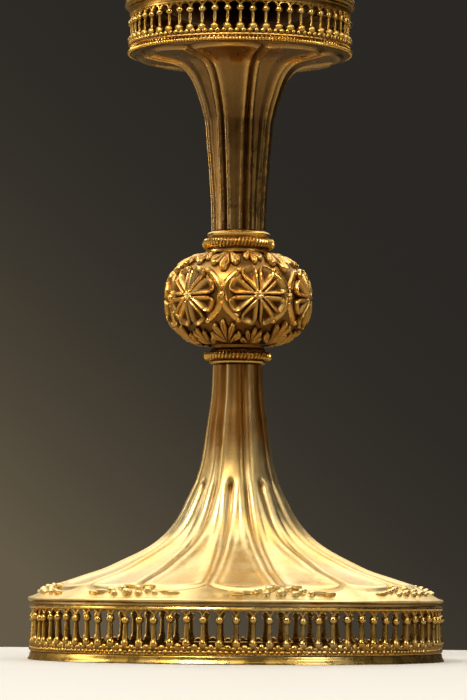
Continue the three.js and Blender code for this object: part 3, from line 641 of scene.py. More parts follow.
def foot_berries():
    """Sprigs of leaves and berries on the border, one at each long groove."""
    slope = Matrix.Rotation(math.radians(-29), 4, "X")
    sprig = [(angle, radius, 0.15, 0, (size, size * 0.95, size * 0.6)) for angle, radius, size in BERRIES]
    sprig += [(angle, radius, 0.1, swing, (2.7, 1.3, 0.7)) for angle, radius, swing in BERRY_LEAVES]
    bits = []
    for angle, radius, lift, swing, size in sprig:
        place = on_foot(FIRST_FLUTE + angle, radius, lift)
        turn = Matrix.Rotation(math.radians(FIRST_FLUTE + angle + swing), 4, "Z")
        bits.append(bead(size, place, 12, 8, turn @ slope))
    settle(ring_of("foot_berries", together(*bits), FLUTES, FOOT_GILT), "foot_shell")


# ---- Galleries ---------------------------------------------------------------------------------

FOOT_BALUSTERS = 80
BALUSTER = [  # radius, height, painted shade
    (0, 5.2, 0.8), (1.1, 5.3, 0.8), (1.3, 6.0, 0.6), (1.5, 6.6, 0.2), (1.55, 7.2, 0), (1.35, 7.9, 0.3),
    (1.02, 8.3, 0.8), (1.0, 9.0, 0.4), (0.9, 11.2, 0.35), (0.78, 13.4, 0.4), (0.72, 13.9, 0.8),
    (1.0, 14.1, 0.5), (1.35, 14.6, 0.1), (1.5, 15.2, 0), (1.45, 15.7, 0), (1.1, 16.25, 0.2),
    (0.6, 16.6, 0.7), (0, 16.7, 0.8),
]
# radius, height, painted shade
FOOT_FLANGE = [
    (75.2, 0.0, 0.2), (75.5, 0.2, 0.1), (75.45, 0.5, 0), (75.15, 0.9, 0.05), (74.9, 1.4, 0.1),
    (74.75, 2.0, 0.1), (74.75, 2.4, 0), (74.6, 2.7, 0.3), (74.2, 2.8, 0.8), (70.2, 2.8, 0.5),
    (69.7, 2.4, 0.5), (69.7, 0.3, 0.5), (70.0, 0.0, 0.3),
]
FOOT_CREST_BAND = [
    (74.5, 3.0, 0.5), (74.75, 3.4, 0), (74.3, 3.8, 0.7), (74.3, 4.6, 0.9), (73.9, 5.3, 0.6),
    (72.6, 5.4, 0.7), (72.2, 5.1, 0.5), (72.2, 3.2, 0.5), (72.5, 3.0, 0.5),
]
FOOT_RAIL = [
    (74.6, 18.35, 0.4), (75.0, 18.6, 0.05), (75.15, 19.1, 0), (74.9, 19.6, 0.1), (74.3, 19.85, 0.7),
    (73.3, 19.85, 0.9), (72.6, 19.6, 0.6), (72.4, 18.9, 0.5), (72.6, 18.35, 0.5),
]

UPPER_BALUSTERS = 54
UPPER_ARCADE_FOOT = 224.2
UPPER_BALUSTER = [  # radius, height above the arcade's foot, painted shade
    (0, 0.1, 0.9), (0.9, 0.15, 0.9), (0.95, 0.6, 0.8), (1.45, 1.1, 0.2), (1.72, 1.8, 0), (1.45, 2.5, 0.3),
    (0.85, 2.9, 0.9), (0.6, 3.3, 0.6), (0.66, 4.9, 0.3), (0.58, 6.7, 0.5), (0.9, 7.1, 0.8),
    (1.38, 7.7, 0.1), (1.42, 8.3, 0), (1.0, 9.0, 0.4), (0.5, 9.3, 0.8), (0, 9.4, 0.8),
]
# radius, height, painted shade
GALLERY_BASE = [
    (36.6, 221.0, 0.5), (40.0, 220.9, 0.4), (40.6, 221.1, 0), (40.4, 221.7, 0.5), (39.9, 221.95, 0.9),
    (39.8, 222.5, 0.8), (40.3, 222.8, 0.2), (40.7, 223.0, 0), (40.5, 223.4, 0.2), (40.1, 223.7, 0.6),
    (37.2, 223.8, 0.7), (36.6, 223.5, 0.5),
]
GALLERY_RAIL = [
    (37.6, 234.9, 0.6), (39.9, 234.9, 0.4), (40.5, 235.1, 0.1), (40.6, 235.6, 0), (40.2, 236.0, 0.6),
    (40.3, 236.8, 0.8), (40.9, 237.2, 0.1), (40.6, 237.5, 0.3), (37.6, 237.5, 0.6),
]
CROWN = [
    (31.0, 237.7, 0.5), (40.4, 237.7, 0.4), (41.6, 237.9, 0.1), (42.2, 238.4, 0), (42.2, 239.0, 0),
    (41.6, 239.6, 0.2), (40.8, 239.8, 0.2), (31.0, 239.8, 0.5),
]


def arch(radius, copies, foot, crown, wire):
    """A small round arch of wire from one baluster to the next."""
    half = math.pi / copies
    path = []
    for share in np.linspace(-1, 1, 11):
        turn = half * share
        rise = foot + (crown - foot) * math.sqrt(max(0.0, 1 - share**2))
        path.append((radius * math.sin(turn), -radius * math.cos(turn), rise))
    return rod_along(path, wire)


def crest_leaf(width, height, depth):
    """A little leaf of three lobes."""
    middle = bead((width * 0.36, depth, height), (0, 0, height * 0.25), 8, 6)
    size = (width * 0.3, depth * 0.85, height * 0.62)
    return together(middle, *[bead(size, (side * width * 0.52, 0, 0), 8, 6) for side in (-1, 1)])


def castings(count, nodes, rows):
    """Rings of a gallery's castings: so many of each bit to a baluster."""
    for name, bit, each, *place in rows:
        settle(ring_of(name, bit, each * count, CAST_GILT, *place), *nodes)


def posts(profile):
    """A baluster and its painted shade."""
    profile = np.asarray(profile, dtype=float)
    return turned_bit(profile[:, :2], 12), np.tile(profile[:, 2], 12)


def foot_gallery():
    lengths = [f"foot_arcade_{number}" for number in range(1, 9)]
    moulding("foot_flange", FOOT_FLANGE, 256, "base_ring")
    moulding("foot_crest_band", FOOT_CREST_BAND, 256, *lengths)
    step = 360 / FOOT_BALUSTERS
    leaf, grain = crest_leaf(3.4, 1.3, 0.75), bead((0.95, 0.7, 0.8), sides=8, rings=5)
    post, shade = posts(BALUSTER)
    arches = arch(73.75, FOOT_BALUSTERS, 16.2, 18.5, 0.42)
    # The crest leaves and grains are painted darker low down, and the balusters carry their painted shade.
    castings(FOOT_BALUSTERS, lengths, (
        ("foot_crest_leaves", leaf, 1, 74.1, 5.3, step / 2, 5, 0.25, shade_below(leaf, 0.5, 0.4)),
        ("foot_crest_grains", grain, 3, 74.3, 4.0, 0.4, 8, 0.3, shade_below(grain, 0.5, 0.7)),
        ("foot_balusters", post, 1, 73.7, 0, 0, 1.1, 0.03, shade),
        ("foot_arches", arches, 1, 0, 0, step / 2),
    ))
    moulding("foot_gallery_rail", FOOT_RAIL, 256, *lengths)


def upper_gallery():
    lengths = [f"upper_arcade_{number}" for number in range(1, 7)]
    moulding("gallery_base_moulding", GALLERY_BASE, 216, "gallery_base_ring")
    pearl = bead((0.6, 0.6, 0.6), sides=8, rings=6)
    rib = bead((0.34, 0.4, 0.75), sides=6, rings=4)
    castings(UPPER_BALUSTERS, ["gallery_base_ring"], (
        ("gallery_base_pearls", pearl, 4, 40.7, 221.3, 0, 0, 0.05),
        ("gallery_base_ribs", rib, 3, 40.05, 222.25),
    ))
    step = 360 / UPPER_BALUSTERS
    crest = bead((1.1, 0.95, 1.05), sides=10, rings=7)
    post, shade = posts(UPPER_BALUSTER)
    arches = arch(39.55, UPPER_BALUSTERS, 233.0, 235.1, 0.42)
    # The crest pearls are painted darker low down, and the balusters carry their painted shade.
    castings(UPPER_BALUSTERS, lengths, (
        ("gallery_crest_pearls", crest, 2, 40.0, 224.3, step / 4, 6, 0.1, shade_below(crest, 0.4, 0.6)),
        ("gallery_balusters", post, 1, 39.5, UPPER_ARCADE_FOOT, 0, 1.5, 0.02, shade),
        ("gallery_arches", arches, 1, 0, 0, step / 2),
    ))
    moulding("gallery_rail", GALLERY_RAIL, 216, *lengths)
    moulding("crown_moulding", CROWN, 216, "crown_ring")
    rope("crown_rope", 41.5, 239.9, 0.75, 150, "crown_ring")


# ---- Stem --------------------------------------------------------------------------------------

# radius, height, painted shade
LOWER_COLLAR = [
    (2.9, 107.3, 0.5), (9.3, 107.3, 0.4), (10.2, 107.7, 0), (10.4, 108.2, 0), (10.0, 108.7, 0.4),
    (9.6, 108.9, 0.8), (9.6, 111.8, 0.8), (10.0, 112.0, 0.4), (10.3, 112.4, 0.1), (9.9, 112.8, 0.5),
    (9.4, 113.2, 0.9), (9.6, 114.2, 0.8), (2.9, 114.2, 0.5),
]
UPPER_COLLAR = [
    (2.9, 147.8, 0.5), (11.6, 147.8, 0.4), (12.1, 148.2, 0), (12.1, 148.8, 0), (11.4, 149.3, 0.5),
    (10.8, 149.5, 0.8), (10.8, 153.4, 0.8), (11.0, 153.7, 0.6), (11.4, 154.2, 0.1), (11.5, 154.8, 0),
    (11.2, 155.3, 0.2), (10.3, 155.7, 0.5), (9.8, 155.9, 0.7), (2.9, 155.9, 0.5),
]
UPPER_STEM_PROFILE = [
    (9.5, 156.2), (9.7, 163.6), (10.0, 169.4), (10.5, 175.2), (10.9, 181.0), (11.5, 187.0), (12.3, 195.6),
    (13.1, 199.0), (13.8, 201.6), (15.0, 204.8), (15.9, 207.3), (17.2, 210.2), (19.0, 213.1), (22.0, 215.9),
    (27.0, 217.7), (33.0, 218.9), (38.4, 219.9), (40.2, 220.6),
]


def collars():
    moulding("lower_collar_moulding", LOWER_COLLAR, 128, "lower_collar")
    rope("lower_collar_rope", 11.2, 110.35, 1.6, 52, "lower_collar_wire", slot="wire_gilt")
    moulding("upper_collar_moulding", UPPER_COLLAR, 128, "upper_collar")
    rope("upper_collar_rope", 11.85, 151.4, 1.85, 58, "upper_collar_wire", slot="wire_gilt")


def upper_stem_relief(angles, radii, heights):
    side, share = from_groove(angles, radii, FLUTES, FIRST_FLUTE)
    edge, inside = tongue_edge(side, share, 38.9, 4.6, radii)
    groove = 0.85 * near(edge, 0.5 + 0.012 * radii)
    ridge_in = 1.15 + 0.035 * radii
    crest = near(edge - ridge_in, 0.5 + 0.022 * radii) * inside
    ridge = 0.85 * crest - 0.022 * radii * (1 - near(edge, ridge_in * 1.6)) * inside
    flat = np.cos(math.pi / FLUTES) / np.cos(math.pi / FLUTES * (1 - share))
    flatten = 0.55 * radii * (flat - 1) * np.clip((30 - radii) / 10, 0, 1)
    fade = np.clip((220.4 - heights) / 0.6, 0, 1)
    # Painted shade: dark over the flats and in the grooves, lighter along the crests, and darker about the
    # middle of the stem's height.
    darkening = 0.7 - 0.66 * crest + 0.3 * near(edge, 0.6) + 0.2 * near(heights - 194, 13)
    return (ridge - groove) * fade + flatten, darkening


def upper_stem():
    path = even_path(smooth_path(UPPER_STEM_PROFILE, 8), 0.6)
    made = chased_shell("upper_stem", path, 1.0, upper_stem_relief, STEM_GILT, 512)
    settle(made, "upper_stem_shell", slot="sheet_gilt")


# ---- Knop --------------------------------------------------------------------------------------

KNOP_MIDDLE = 131.0
KNOP_WIDE = 25.0
KNOP_TALL = 17.3
KNOP_POWER = 2.45
ROSETTES = 6
FIRST_ROSETTE = 16.5
BETWEEN_ROSETTES = FIRST_ROSETTE - 30
PETALS = 8
PETAL_REACH = 10.5
PETAL_SPREAD = math.radians(21.3)
PETAL_LIFT = 1.9
EYE = 1.7
ON_THE_SHEET = 0.3
LEAF_NOTCH = 0.42


def knop_radius(up):
    share = np.clip(np.abs(up) / KNOP_TALL, 0, 0.985)
    return KNOP_WIDE * (1 - share**KNOP_POWER) ** (1 / KNOP_POWER)


def on_knop(angles, up, lift):
    """Points on the knop at an angle and a height above its middle, lifted off its surface."""
    share = np.clip(up / KNOP_TALL, -0.985, 0.985)
    radius = knop_radius(up)
    normal_r = (radius / KNOP_WIDE) ** (KNOP_POWER - 1) / KNOP_WIDE
    normal_z = np.sign(share) * np.abs(share) ** (KNOP_POWER - 1) / KNOP_TALL
    length = np.hypot(normal_r, normal_z)
    radius = radius + lift * normal_r / length
    height = KNOP_MIDDLE + up + lift * normal_z / length
    return np.stack([radius * np.sin(angles), -radius * np.cos(angles), height], axis=-1)


def bent_bit(swing, place, lift, shade, **wrap):
    """A bit bent to the knop, with its painted shade, closed by a coarser back that is sunk in the sheet."""
    back = on_knop(swing, place, -ON_THE_SHEET + 0 * lift)[:, unseen_rows(lift.shape[1], 5)]
    verts = np.concatenate([on_knop(swing, place, lift), back], axis=1)
    shade = np.concatenate([shade, np.full(back.shape[:2], 0.9)], axis=1)
    return (verts.reshape(-1, 3), grid_faces(*verts.shape[:2], **wrap)), shade.ravel()


def petal_height(edge, height):
    """A petal's section: a rounded raised lip, then a smooth deep hollow towards the middle."""
    lip = np.clip(edge / 0.8, 0, 1)
    hollow = np.clip((edge - 0.65) / 1.5, 0, 1)
    return height * (np.sqrt(1 - (1 - lip) ** 2) - 0.9 * hollow**1.2)


def rosette_bit():
    """Eight hollow petals with round ends about a small bead, bent to the knop."""
    turns = steps_round(256)
    share = np.concatenate([np.linspace(0, 0.9, 30), [0.93, 0.955, 0.975, 0.99, 1.0]])[None, :]
    off = np.abs((turns * PETALS / (2 * math.pi)) % 1.0 - 0.5) * 2 * math.pi / PETALS
    outline = PETAL_REACH * (1 - 0.17 * (off / PETAL_SPREAD) ** 3)
    reach = outline * share
    beside = np.maximum(reach * np.sin(PETAL_SPREAD - off), 0)
    end = outline - reach
    corner = 2 - np.minimum(np.hypot(2 - beside, 2 - end), 2)
    edge = np.where((beside < 2) & (end < 2), corner, np.minimum(beside, end))
    petal = np.clip((reach - 1.0) / 1.2, 0, 1)
    eye = np.sqrt(np.maximum(0, EYE**2 - reach**2)) - 0.7 * near(reach, 0.5) + 0.3
    lift = ON_THE_SHEET + petal * petal_height(edge, PETAL_LIFT) + (reach < EYE) * eye
    swing = math.radians(FIRST_ROSETTE) + 1.05 * reach * np.sin(turns) / KNOP_WIDE
    place = reach * np.cos(turns)
    # Painted shade: deep in the petals' hollows, and more on the rosette's lower side.
    shade = np.clip(1.1 - (lift - ON_THE_SHEET) / 1.25, 0, 1) + 0.4 * np.clip(-place / 9, 0, 1)
    return bent_bit(swing, place, lift, shade, wrap_columns=False)


def leaf_bit(sign, centre, base, length, lobe_degrees, spread, height):
    """A lobed leaf on the knop that spreads from its base towards the knop's middle."""
    turns = np.linspace(-math.radians(spread), math.radians(spread), 161)[:, None]
    share = np.linspace(0, 1, 20)[None, :]
    lobe = math.radians(lobe_degrees)
    across = np.abs(turns / lobe - np.round(turns / lobe)) * 2
    outline = length * np.cos(turns * 0.55) * (1 - LEAF_NOTCH * across**2.2)
    reach = outline * share
    crown = (1 - np.minimum(across, 1) ** 2) ** 0.6 * np.clip((outline - reach) / 0.9, 0, 1) ** 0.5
    vein = 0.35 * near(across * reach * lobe / 2, 0.22) * np.clip((reach - 2) / 2, 0, 1)
    swell = 0.7 + 0.5 * share**2
    body = np.clip((reach - 0.4) / 1.5, 0, 1) * crown * height * swell
    lift = ON_THE_SHEET + body - vein + 0.8 * near(reach, 1.4)
    along = base - reach * np.cos(turns) * 0.9
    swing = math.radians(centre) + reach * np.sin(turns) / knop_radius(along) * 0.95
    place = sign * np.minimum(along, 16.4)
    # Painted shade: where the leaf lies low on the sheet, and more on the lower leaves.
    shade = np.clip(1.0 - (lift - ON_THE_SHEET) / (0.7 * height), 0, 1) * 0.9 + (0.4 if sign < 0 else 0)
    return bent_bit(swing, place, lift, shade, wrap_rows=False)


def tendril_bits():
    """The stems that run between two rosettes, a knuckle where they meet and a curl at each end."""
    bits = []
    middle = math.radians(BETWEEN_ROSETTES)
    turns = np.linspace(-math.radians(52), math.radians(52), 22)
    reach = 11.7 + 0.8 * np.cos(turns * 2.6)
    up = reach * np.sin(turns)
    for side in (-1, 1):
        angles = middle + side * (13.0 - reach * np.cos(turns)) / KNOP_WIDE
        bits.append(rod_along(on_knop(angles, up, 0 * up - 0.95), 1.7, 12))
        for end in (0, -1):
            bits.append(bead((1.25, 1.25, 1.1), on_knop(angles[end], up[end], np.array(0.4)), 12, 8))
    for knot, size in ((0.0, 1.35), (2.9, 0.75), (-2.9, 0.75)):
        place = on_knop(np.array(middle), np.array(knot), np.array(0.5))
        bits.append(bead((size, size, size), place, 12, 8))
    return together(*bits)


KNOP_LEAVES = {  # centre, base, length, lobe, spread, height of the large and the small leaf
    1: ((BETWEEN_ROSETTES, 15.9, 8.4, 46, 69, 1.7), (FIRST_ROSETTE, 16.2, 5.6, 46, 69, 1.5)),
    -1: ((BETWEEN_ROSETTES, 15.7, 8.2, 31, 77.5, 1.6), (FIRST_ROSETTE, 15.9, 5.8, 34, 85, 1.4)),
}


def knop_half(sign, name):
    """The plain sheet of the knop's upper or lower half."""
    turns = np.linspace(0.0, math.radians(71), 40)
    rise = KNOP_TALL * np.sin(turns)
    wide = knop_radius(rise)
    shell = np.stack([wide, KNOP_MIDDLE + sign * (0.02 + rise)], axis=-1)
    inner = np.stack([np.maximum(2.9, wide - 1.1), KNOP_MIDDLE + sign * (0.02 + 0.94 * rise)], axis=-1)
    # Painted shade: the sheet darker towards the knop's bottom and lighter towards its top, the inside evenly
    # shaded.
    shade = 0.7 + 0.15 * np.sin(turns) ** 2 - sign * 0.2 * np.sin(turns)
    shade = np.concatenate([shade, np.full(40, 0.5)])
    made = turned(name, np.vstack([shell, inner[::-1]]), KNOP_GILT, 160, shade)
    settle(made, name + "_shell", slot="sheet_gilt")


def knop():
    knop_half(-1, "knop_lower")
    knop_half(1, "knop_upper")
    bit, shade = rosette_bit()
    rosettes = ring_of("knop_rosettes", bit, ROSETTES, KNOP_GILT, painted_shade=shade)
    settle(rosettes, *[f"knop_rosette_{number}" for number in range(1, 7)])
    for sign, name in ((1, "knop_upper"), (-1, "knop_lower")):
        for leaf, kind in zip(KNOP_LEAVES[sign], ("_leaves", "_small_leaves")):
            bit, shade = leaf_bit(sign, *leaf)
            leaves = ring_of(name + kind, bit, ROSETTES, KNOP_GILT, painted_shade=shade)
            settle(leaves, name + "_shell", slot="sheet_gilt")
    settle(ring_of("knop_tendrils", tendril_bits(), ROSETTES, KNOP_GILT), "knop_upper_shell")


# ---- Bowl --------------------------------------------------------------------------------------

BOWL_RIM = 284.0
BOWL_WIDE = 50.4
BOWL_DEEP = 48
BORE = 2.9
RIM_MOULDING = [  # radius, height above its foot, painted shade
    (50.75, 0.0, 0.4), (51.6, 0.0, 0.1), (51.9, 0.25, 0), (51.8, 0.7, 0.2), (51.4, 1.0, 0.9),
    (51.4, 3.0, 0.9), (51.8, 3.3, 0.2), (51.9, 3.75, 0), (51.6, 4.0, 0.1), (50.75, 4.0, 0.4),
]


def bowl_relief(angles, radii, heights):
    side, share = from_groove(angles, radii, 2 * FLUTES, FIRST_FLUTE)
    edge, inside = tongue_edge(side, share, 262, 5, heights)
    leaf = 0.5 * near(edge - 1.8, 0.9) * inside - 0.55 * near(edge, 0.6)
    lines = 0.3 * (near(heights - 275.5, 0.35) + near(heights - 276.8, 0.35))
    raised = leaf * np.clip((radii - 24) / 6, 0, 1) - lines
    # Painted shade: in the grooves and the lines, and dark over the bowl's bottom inside the gallery.
    return raised, shade_in_hollows(raised, 0.7) * 0.7 + 0.9 * np.clip((247 - heights) / 6, 0, 1)


def bowl():
    turns = np.linspace(0, math.pi / 2, 110)
    curve = [(BOWL_WIDE * math.sin(t), BOWL_RIM - 6 - BOWL_DEEP * math.cos(t)) for t in turns]
    band = [(BOWL_WIDE, height) for height in np.linspace(BOWL_RIM - 5.3, BOWL_RIM - 0.3, 8)]
    path = np.array(curve + band + [(BOWL_WIDE - 0.2, BOWL_RIM - 0.08)])
    made = chased_shell("bowl_cup", path, 1.0, bowl_relief, BOWL_GILT, 384, inner_share=0.0, bore=0.0)
    settle(made, "bowl", slot="sheet_gilt")


def rim_moulding(name, bottom, body, node):
    """A half-round ring between two fillets, with pearls along it."""
    profile = [(radius, bottom + height, darkening) for radius, height, darkening in RIM_MOULDING]
    moulding(name, profile, 256, node, body=body)
    pearl = bead((0.98, 0.85, 0.92), sides=10, rings=8)
    pearls = ring_of(name + "_pearls", pearl, 156, CAST_GILT, 51.45, bottom + 2, growth=0.04)
    settle(pearls, node, body=body)


def inner_pieces():
    floor = [(BORE, 221.6), (36.4, 221.6), (36.7, 221.9), (36.4, 222.5), (BORE, 222.5)]
    # The plate is painted in full shade.
    plate = turned("gallery_plate", floor, STEM_GILT, 160, np.full(5, 1.0))
    settle(plate, "gallery_floor", slot="sheet_gilt")
    boss = [(BORE, 222.9), (5.6, 222.9), (5.9, 223.4), (5.2, 226.2)]
    boss += [(5.9, 229.2), (5.6, 229.7), (BORE, 229.7)]
    settle(turned("bowl_foot", boss, STEM_GILT, 96), "bowl_boss", slot="sheet_gilt")
    top, low = 54.9, 50.9
    cone = [(BORE, low), (15.9, low), (16.7, low + 0.7), (16.9, top - 0.7), (16.4, top), (BORE, top)]
    settle(turned("stem_washer_plate", cone, IRON, 96), "stem_washer", slot="iron")
    stem_nut(45.6, low - 0.3)
    stem_rod(42.9, 227.7)


def stem_nut(low, top):
    """A hexagonal nut with its corners turned off."""
    angles = steps_round(96)
    hexagon = 5.0 / np.cos((angles + math.pi / 6) % (math.pi / 3) - math.pi / 6)
    heights = np.array([low, low + 0.35, low + 0.8, top - 0.8, top - 0.35, top, top, low])[None, :]
    turned_off = np.array([4.9, 5.35, 6.2, 6.2, 5.35, 4.9, 2.85, 2.85])[None, :]
    radii = np.minimum(np.where(turned_off > 3, hexagon, 99), turned_off)
    verts = round_the_stem(radii, heights, angles).reshape(-1, 3)
    made = piece("stem_nut_hexagon", verts, grid_faces(96, heights.size), IRON, crease=25)
    settle(made, "stem_nut", slot="iron")


def stem_rod(low, top):
    """The tie rod, with its thread cut where the nut runs."""
    pitch, threaded = 0.8, 15
    thread = np.arange(low, low + threaded, pitch / 10)
    smooth = np.linspace(low + threaded + 0.2, top, 30)
    heights = np.concatenate([[low, low], thread, smooth, [top]])[None, :]
    angles = steps_round(32)
    wave = np.abs(((heights / pitch - angles / (2 * math.pi)) % 1.0) - 0.5) * 2
    radii = 2.48 - (heights < low + threaded) * 0.42 * wave
    radii[:, [0, -1]] = 0
    radii[:, 1] = 2.0
    verts = round_the_stem(radii, heights, angles).reshape(-1, 3)
    faces = grid_faces(32, heights.size, wrap_columns=False)
    settle(piece("stem_tie_rod", verts, faces, IRON, crease=30), "stem_rod", slot="iron")


# ---- Hinge -------------------------------------------------------------------------------------

HINGE_Y = 54.6
HINGE_Z = 284.15
KNUCKLE = 5.0
KNUCKLE_GAP = 0.3
HINGE_PIN = [
    (0, -8.85), (1.0, -8.8), (1.6, -8.4), (1.6, -8.15), (0.9, -8.1),
    (0.9, 8.1), (1.6, 8.15), (1.6, 8.4), (1.0, 8.8), (0, 8.85),
]


def block(low, high, round_off=0.25):
    """A block between two corners, with its edges eased."""
    bm = bmesh.new()
    bmesh.ops.create_cube(bm, size=1)
    low, high = np.asarray(low, dtype=float), np.asarray(high, dtype=float)
    bmesh.ops.scale(bm, vec=high - low, verts=bm.verts)
    bmesh.ops.translate(bm, vec=(high + low) / 2, verts=bm.verts)
    bmesh.ops.bevel(bm, geom=bm.edges, offset=round_off, segments=2, affect="EDGES")
    return bit_from(bm)


def knuckle(middle):
    """A length of tube round the hinge's pin."""
    half = KNUCKLE / 2 - 0.05
    loop = [(1.1, -half), (1.9, -half), (2.1, -half + 0.2), (2.1, half - 0.2), (1.9, half), (1.1, half)]
    loop = np.array(loop)
    verts = round_the_stem(loop[None, :, 0], loop[None, :, 1], steps_round(32)).reshape(-1, 3)
    return verts[:, [2, 0, 1]] + (middle, HINGE_Y, HINGE_Z), grid_faces(32, len(loop))


def hinge():
    inside, outside = HINGE_Y - 2.1, HINGE_Y - 0.9
    wide, neck = 7.8, 2.4

    def rivet(side, height):
        return bead((0.9, 0.5, 0.9), (side * 5.2, outside, HINGE_Z + height), 12, 8)

    bits = [block((-wide, inside, HINGE_Z - 7.1), (wide, outside, HINGE_Z - 2.45))]
    for side in (-1, 1):
        middle = side * (KNUCKLE + KNUCKLE_GAP)
        left, right = middle - neck, middle + neck
        bits.append(knuckle(middle))
        bits.append(block((left, inside, HINGE_Z - 2.6), (right, outside - 0.2, HINGE_Z - 0.3), 0.15))
        bits.append(block((left, HINGE_Y + 1.2, HINGE_Z - 2.05), (right, HINGE_Y + 4.5, HINGE_Z - 0.65)))
        bits.append(rivet(side, -4.9))
    settle(piece("bowl_hinge_plate", *together(*bits), CAST_GILT), "bowl_hinge_leaf")
    bits = [block((-wide, inside, HINGE_Z + 2.45), (wide, outside, HINGE_Z + 7.1)), knuckle(0)]
    bits.append(block((-neck, inside, HINGE_Z + 0.3), (neck, outside - 0.2, HINGE_Z + 2.6), 0.15))
    bits += [rivet(side, 4.9) for side in (-1, 1)]
    settle(piece("lid_hinge_plate", *together(*bits), CAST_GILT), "lid_hinge_leaf", body=LID)
    verts, faces = turned_bit(HINGE_PIN, 24)
    verts = verts[:, [2, 0, 1]] + (0, HINGE_Y, HINGE_Z)
    settle(piece("hinge_pin_riveted", verts, faces, CAST_GILT), "hinge_pin")


# ---- Lid ---------------------------------------------------------------------------------------

LID_CUT = dict(groove=0.75, groove_width=0.6, ridge=0.4, ridge_in=1.7, ridge_width=0.9, dish=0.013)
LID_RIM = [(50.3, 284.4), (50.45, 284.6), (50.45, 287.1), (50.2, 287.5), (49.2, 288.5), (47.8, 289.6)]
LID_BEZEL = [(48.1, 281.1), (48.85, 281.1), (49.0, 281.4), (49.0, 286.1), (48.1, 286.1)]


def lid_relief(angles, radii, heights):
    raised, _ = short_and_long(angles, radii, heights, 304, 42.5, 3.5, LID_CUT)
    raised = raised * np.clip((49 - radii) / 2, 0, 1)
    # Painted shade in the grooves.
    return raised, shade_in_hollows(raised + 0.2, 0.8) * 0.8


def lid():
    flare = [(5.2 + 41.4 * math.exp(-up / 11.5), 290.5 + up) for up in np.linspace(0, 35.6, 120)]
    made = chased_shell("lid_cover", np.array(LID_RIM + flare), 1.0, lid_relief, BOWL_GILT, 448)
    settle(made, "lid_shell", body=LID, slot="sheet_gilt")
    bezel = turned("lid_bezel_ring", LID_BEZEL, BOWL_GILT, 192)
    settle(bezel, "lid_bezel", body=LID, slot="sheet_gilt")
    verts, faces = crest_leaf(3.4, 1.0, 1.5)
    verts = verts @ np.asarray(Matrix.Rotation(math.radians(-42), 3, "X")).T
    sprigs = ring_of("lid_sprigs", (verts, faces), FLUTES, BOWL_GILT, 45.4, 291.0, FIRST_FLUTE)
    settle(sprigs, "lid_shell", body=LID)
    bits = [bead((2.3, 3.2, 0.95), (0, -54.9, 286.3), 20, 12)]
    for side in (-1, 1):
        turn = Matrix.Rotation(math.radians(28 * side), 4, "Z")
        bits.append(bead((1.5, 2.5, 0.85), (side * 2.5, -54.3, 286.3), 16, 10, turn))
    bits.append(bead((1.0, 1.0, 1.0), (0, -57.9, 286.4), 14, 10))
    settle(piece("lid_thumb_leaf", *together(*bits), CAST_GILT), "lid_thumb_piece", body=LID)


# ---- Finial ------------------------------------------------------------------------------------

FINIAL_MIDDLE = 337.9
# radius, height, painted shade
FINIAL_COLLAR = [
    (1.6, 326.7, 0.5), (6.2, 326.7, 0.3), (7.0, 327.2, 0), (6.6, 327.7, 0.4), (6.2, 327.9, 0.9),
    (6.2, 329.5, 0.9), (6.4, 329.8, 0.2), (5.9, 330.2, 0.1), (5.2, 330.5, 0.4), (1.6, 330.5, 0.5),
]
CROSS_MIDDLE = 368.7
CROSS_FOOT = 349.3
CROSS_SOCKET = [
    (1.6, 345.3, 0.4), (3.3, 345.3, 0.2), (3.4, 345.8, 0), (2.7, 346.5, 0.6), (2.5, 347.4, 0.7),
    (3.1, 348.1, 0), (3.1, 348.6, 0), (2.2, 349.3, 0.5), (1.9, 350.6, 0.2), (1.6, 350.6, 0.4),
]


def finial_lobes(angles, radii, heights):
    _, share = from_groove(angles, radii, 12, FIRST_FLUTE)
    round_lobe = np.sqrt(np.maximum(0, 1 - share**2)) * 0.9
    full = np.clip((radii - 5.5) / 3, 0, 1)
    belt = near(heights - FINIAL_MIDDLE, 0.9)
    raised = full * (round_lobe - 0.9) * (1 - belt) - 0.2 * belt * full
    # Painted shade in the grooves between the lobes.
    return raised, np.clip(-raised - 0.35, 0, 1)


def finial():
    wire = {"body": LID, "slot": "wire_gilt"}
    moulding("finial_collar_moulding", FINIAL_COLLAR, 96, "finial_collar", **wire)
    rope("finial_collar_rope", 6.2, 328.7, 0.85, 40, "finial_collar", **wire)
    turns = np.linspace(math.radians(22), math.radians(158), 60)
    path = np.array([(10.3 * math.sin(t), FINIAL_MIDDLE - 7.4 * math.cos(t)) for t in turns])
    lobed = {"inner_share": 0.0, "bore": 1.7}
    made = chased_shell("finial_lobed_knop", path, 1.1, finial_lobes, KNOP_GILT, 240, **lobed)
    settle(made, "finial_knop", body=LID)
    pearl = bead((0.75, 0.75, 0.75), sides=8, rings=6)
    settle(ring_of("finial_belt", pearl, 40, KNOP_GILT, 10.1, FINIAL_MIDDLE), "finial_knop", body=LID)
    settle(piece("finial_cross_flared", *cross(), KNOP_GILT), "finial_cross", body=LID)
    moulding("finial_cross_socket", CROSS_SOCKET, 64, "finial_cross", material=KNOP_GILT, body=LID)


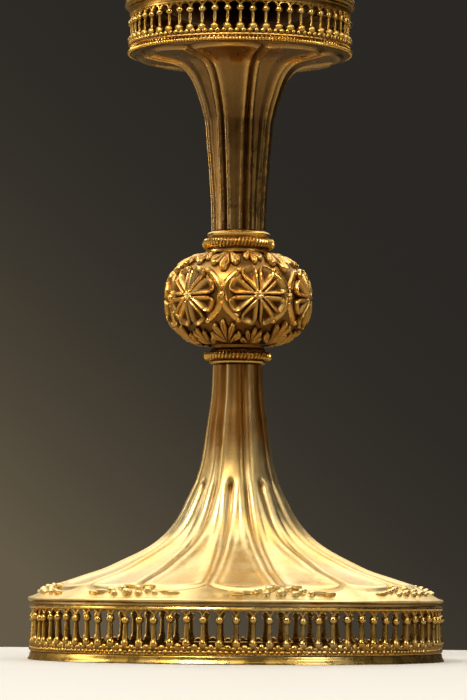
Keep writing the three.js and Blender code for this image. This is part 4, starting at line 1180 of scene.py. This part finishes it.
def cross_outline():
    """Round the cross: the right, top and left arms with their flared, hollow ends, then the foot."""
    bar, end, reach = 1.3, 3.6, 11.5
    flare = [(bar + (reach - bar) * share, bar + (end - bar) * share**2.2) for share in np.linspace(0, 1, 9)]
    tip = [(reach - 0.5 * (1 - (side / end) ** 2), side) for side in np.linspace(end, -end, 9)[1:-1]]
    arm = flare + tip + [(x, -y) for x, y in flare[::-1]]
    right = [(x, CROSS_MIDDLE + y) for x, y in arm[::-1]]
    top = [(-y, CROSS_MIDDLE + x) for x, y in arm[::-1]]
    left = [(-x, CROSS_MIDDLE + y) for x, y in arm]
    shoulder = CROSS_MIDDLE - bar - 0.6
    return right + top + left + [(-bar, shoulder), (-bar, CROSS_FOOT), (bar, CROSS_FOOT), (bar, shoulder)]


def cross():
    """A flat cross with eased edges, pearls at its corners and a boss on each face."""
    points = []
    for point in cross_outline():
        if not points or math.dist(points[-1], point) > 0.02:
            points.append(point)
    bm = bmesh.new()
    face = bm.faces.new([bm.verts.new((x, -1.25, z)) for x, z in points])
    pulled = bmesh.ops.extrude_face_region(bm, geom=[face])["geom"]
    bmesh.ops.translate(bm, vec=(0, 2.5, 0), verts=[v for v in pulled if isinstance(v, bmesh.types.BMVert)])
    bmesh.ops.recalc_face_normals(bm, faces=bm.faces)
    rims = [edge for edge in bm.edges if edge.is_manifold and edge.calc_face_angle(0) > 1.2]
    bmesh.ops.bevel(bm, geom=rims, offset=0.32, segments=2, affect="EDGES", clamp_overlap=True)
    bits = [bit_from(bm)]
    for x, z in ((11.2, 3.4), (11.2, -3.4), (-11.2, 3.4), (-11.2, -3.4), (3.4, 11.0), (-3.4, 11.0)):
        bits.append(bead((0.85, 0.95, 0.85), (x, 0, CROSS_MIDDLE + z), 12, 8))
    for side in (-1, 1):
        bits.append(bead((2.1, 0.9, 2.1), (0, side * 1.2, CROSS_MIDDLE), 20, 10))
        bits.append(bead((0.9, 0.6, 0.9), (0, side * 1.95, CROSS_MIDDLE), 12, 8))
    return together(*bits)


def finial_pin():
    """The frame's own pin stays, in iron."""
    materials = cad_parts["finial_pin"].data.materials
    materials.clear()
    materials.append(IRON)


# ---- Assembly ----------------------------------------------------------------------------------

set_camera()
set_light()
set_room()
set_table()
foot_gallery()
foot_shell()
foot_berries()
collars()
knop()
upper_stem()
upper_gallery()
bowl()
rim_moulding("bowl_rim_moulding", 280.0, VESSEL, "bowl_rim_ring")
inner_pieces()
hinge()
rim_moulding("lid_rim_moulding", 284.3, LID, "lid_rim_ring")
lid()
finial()
finial_pin()
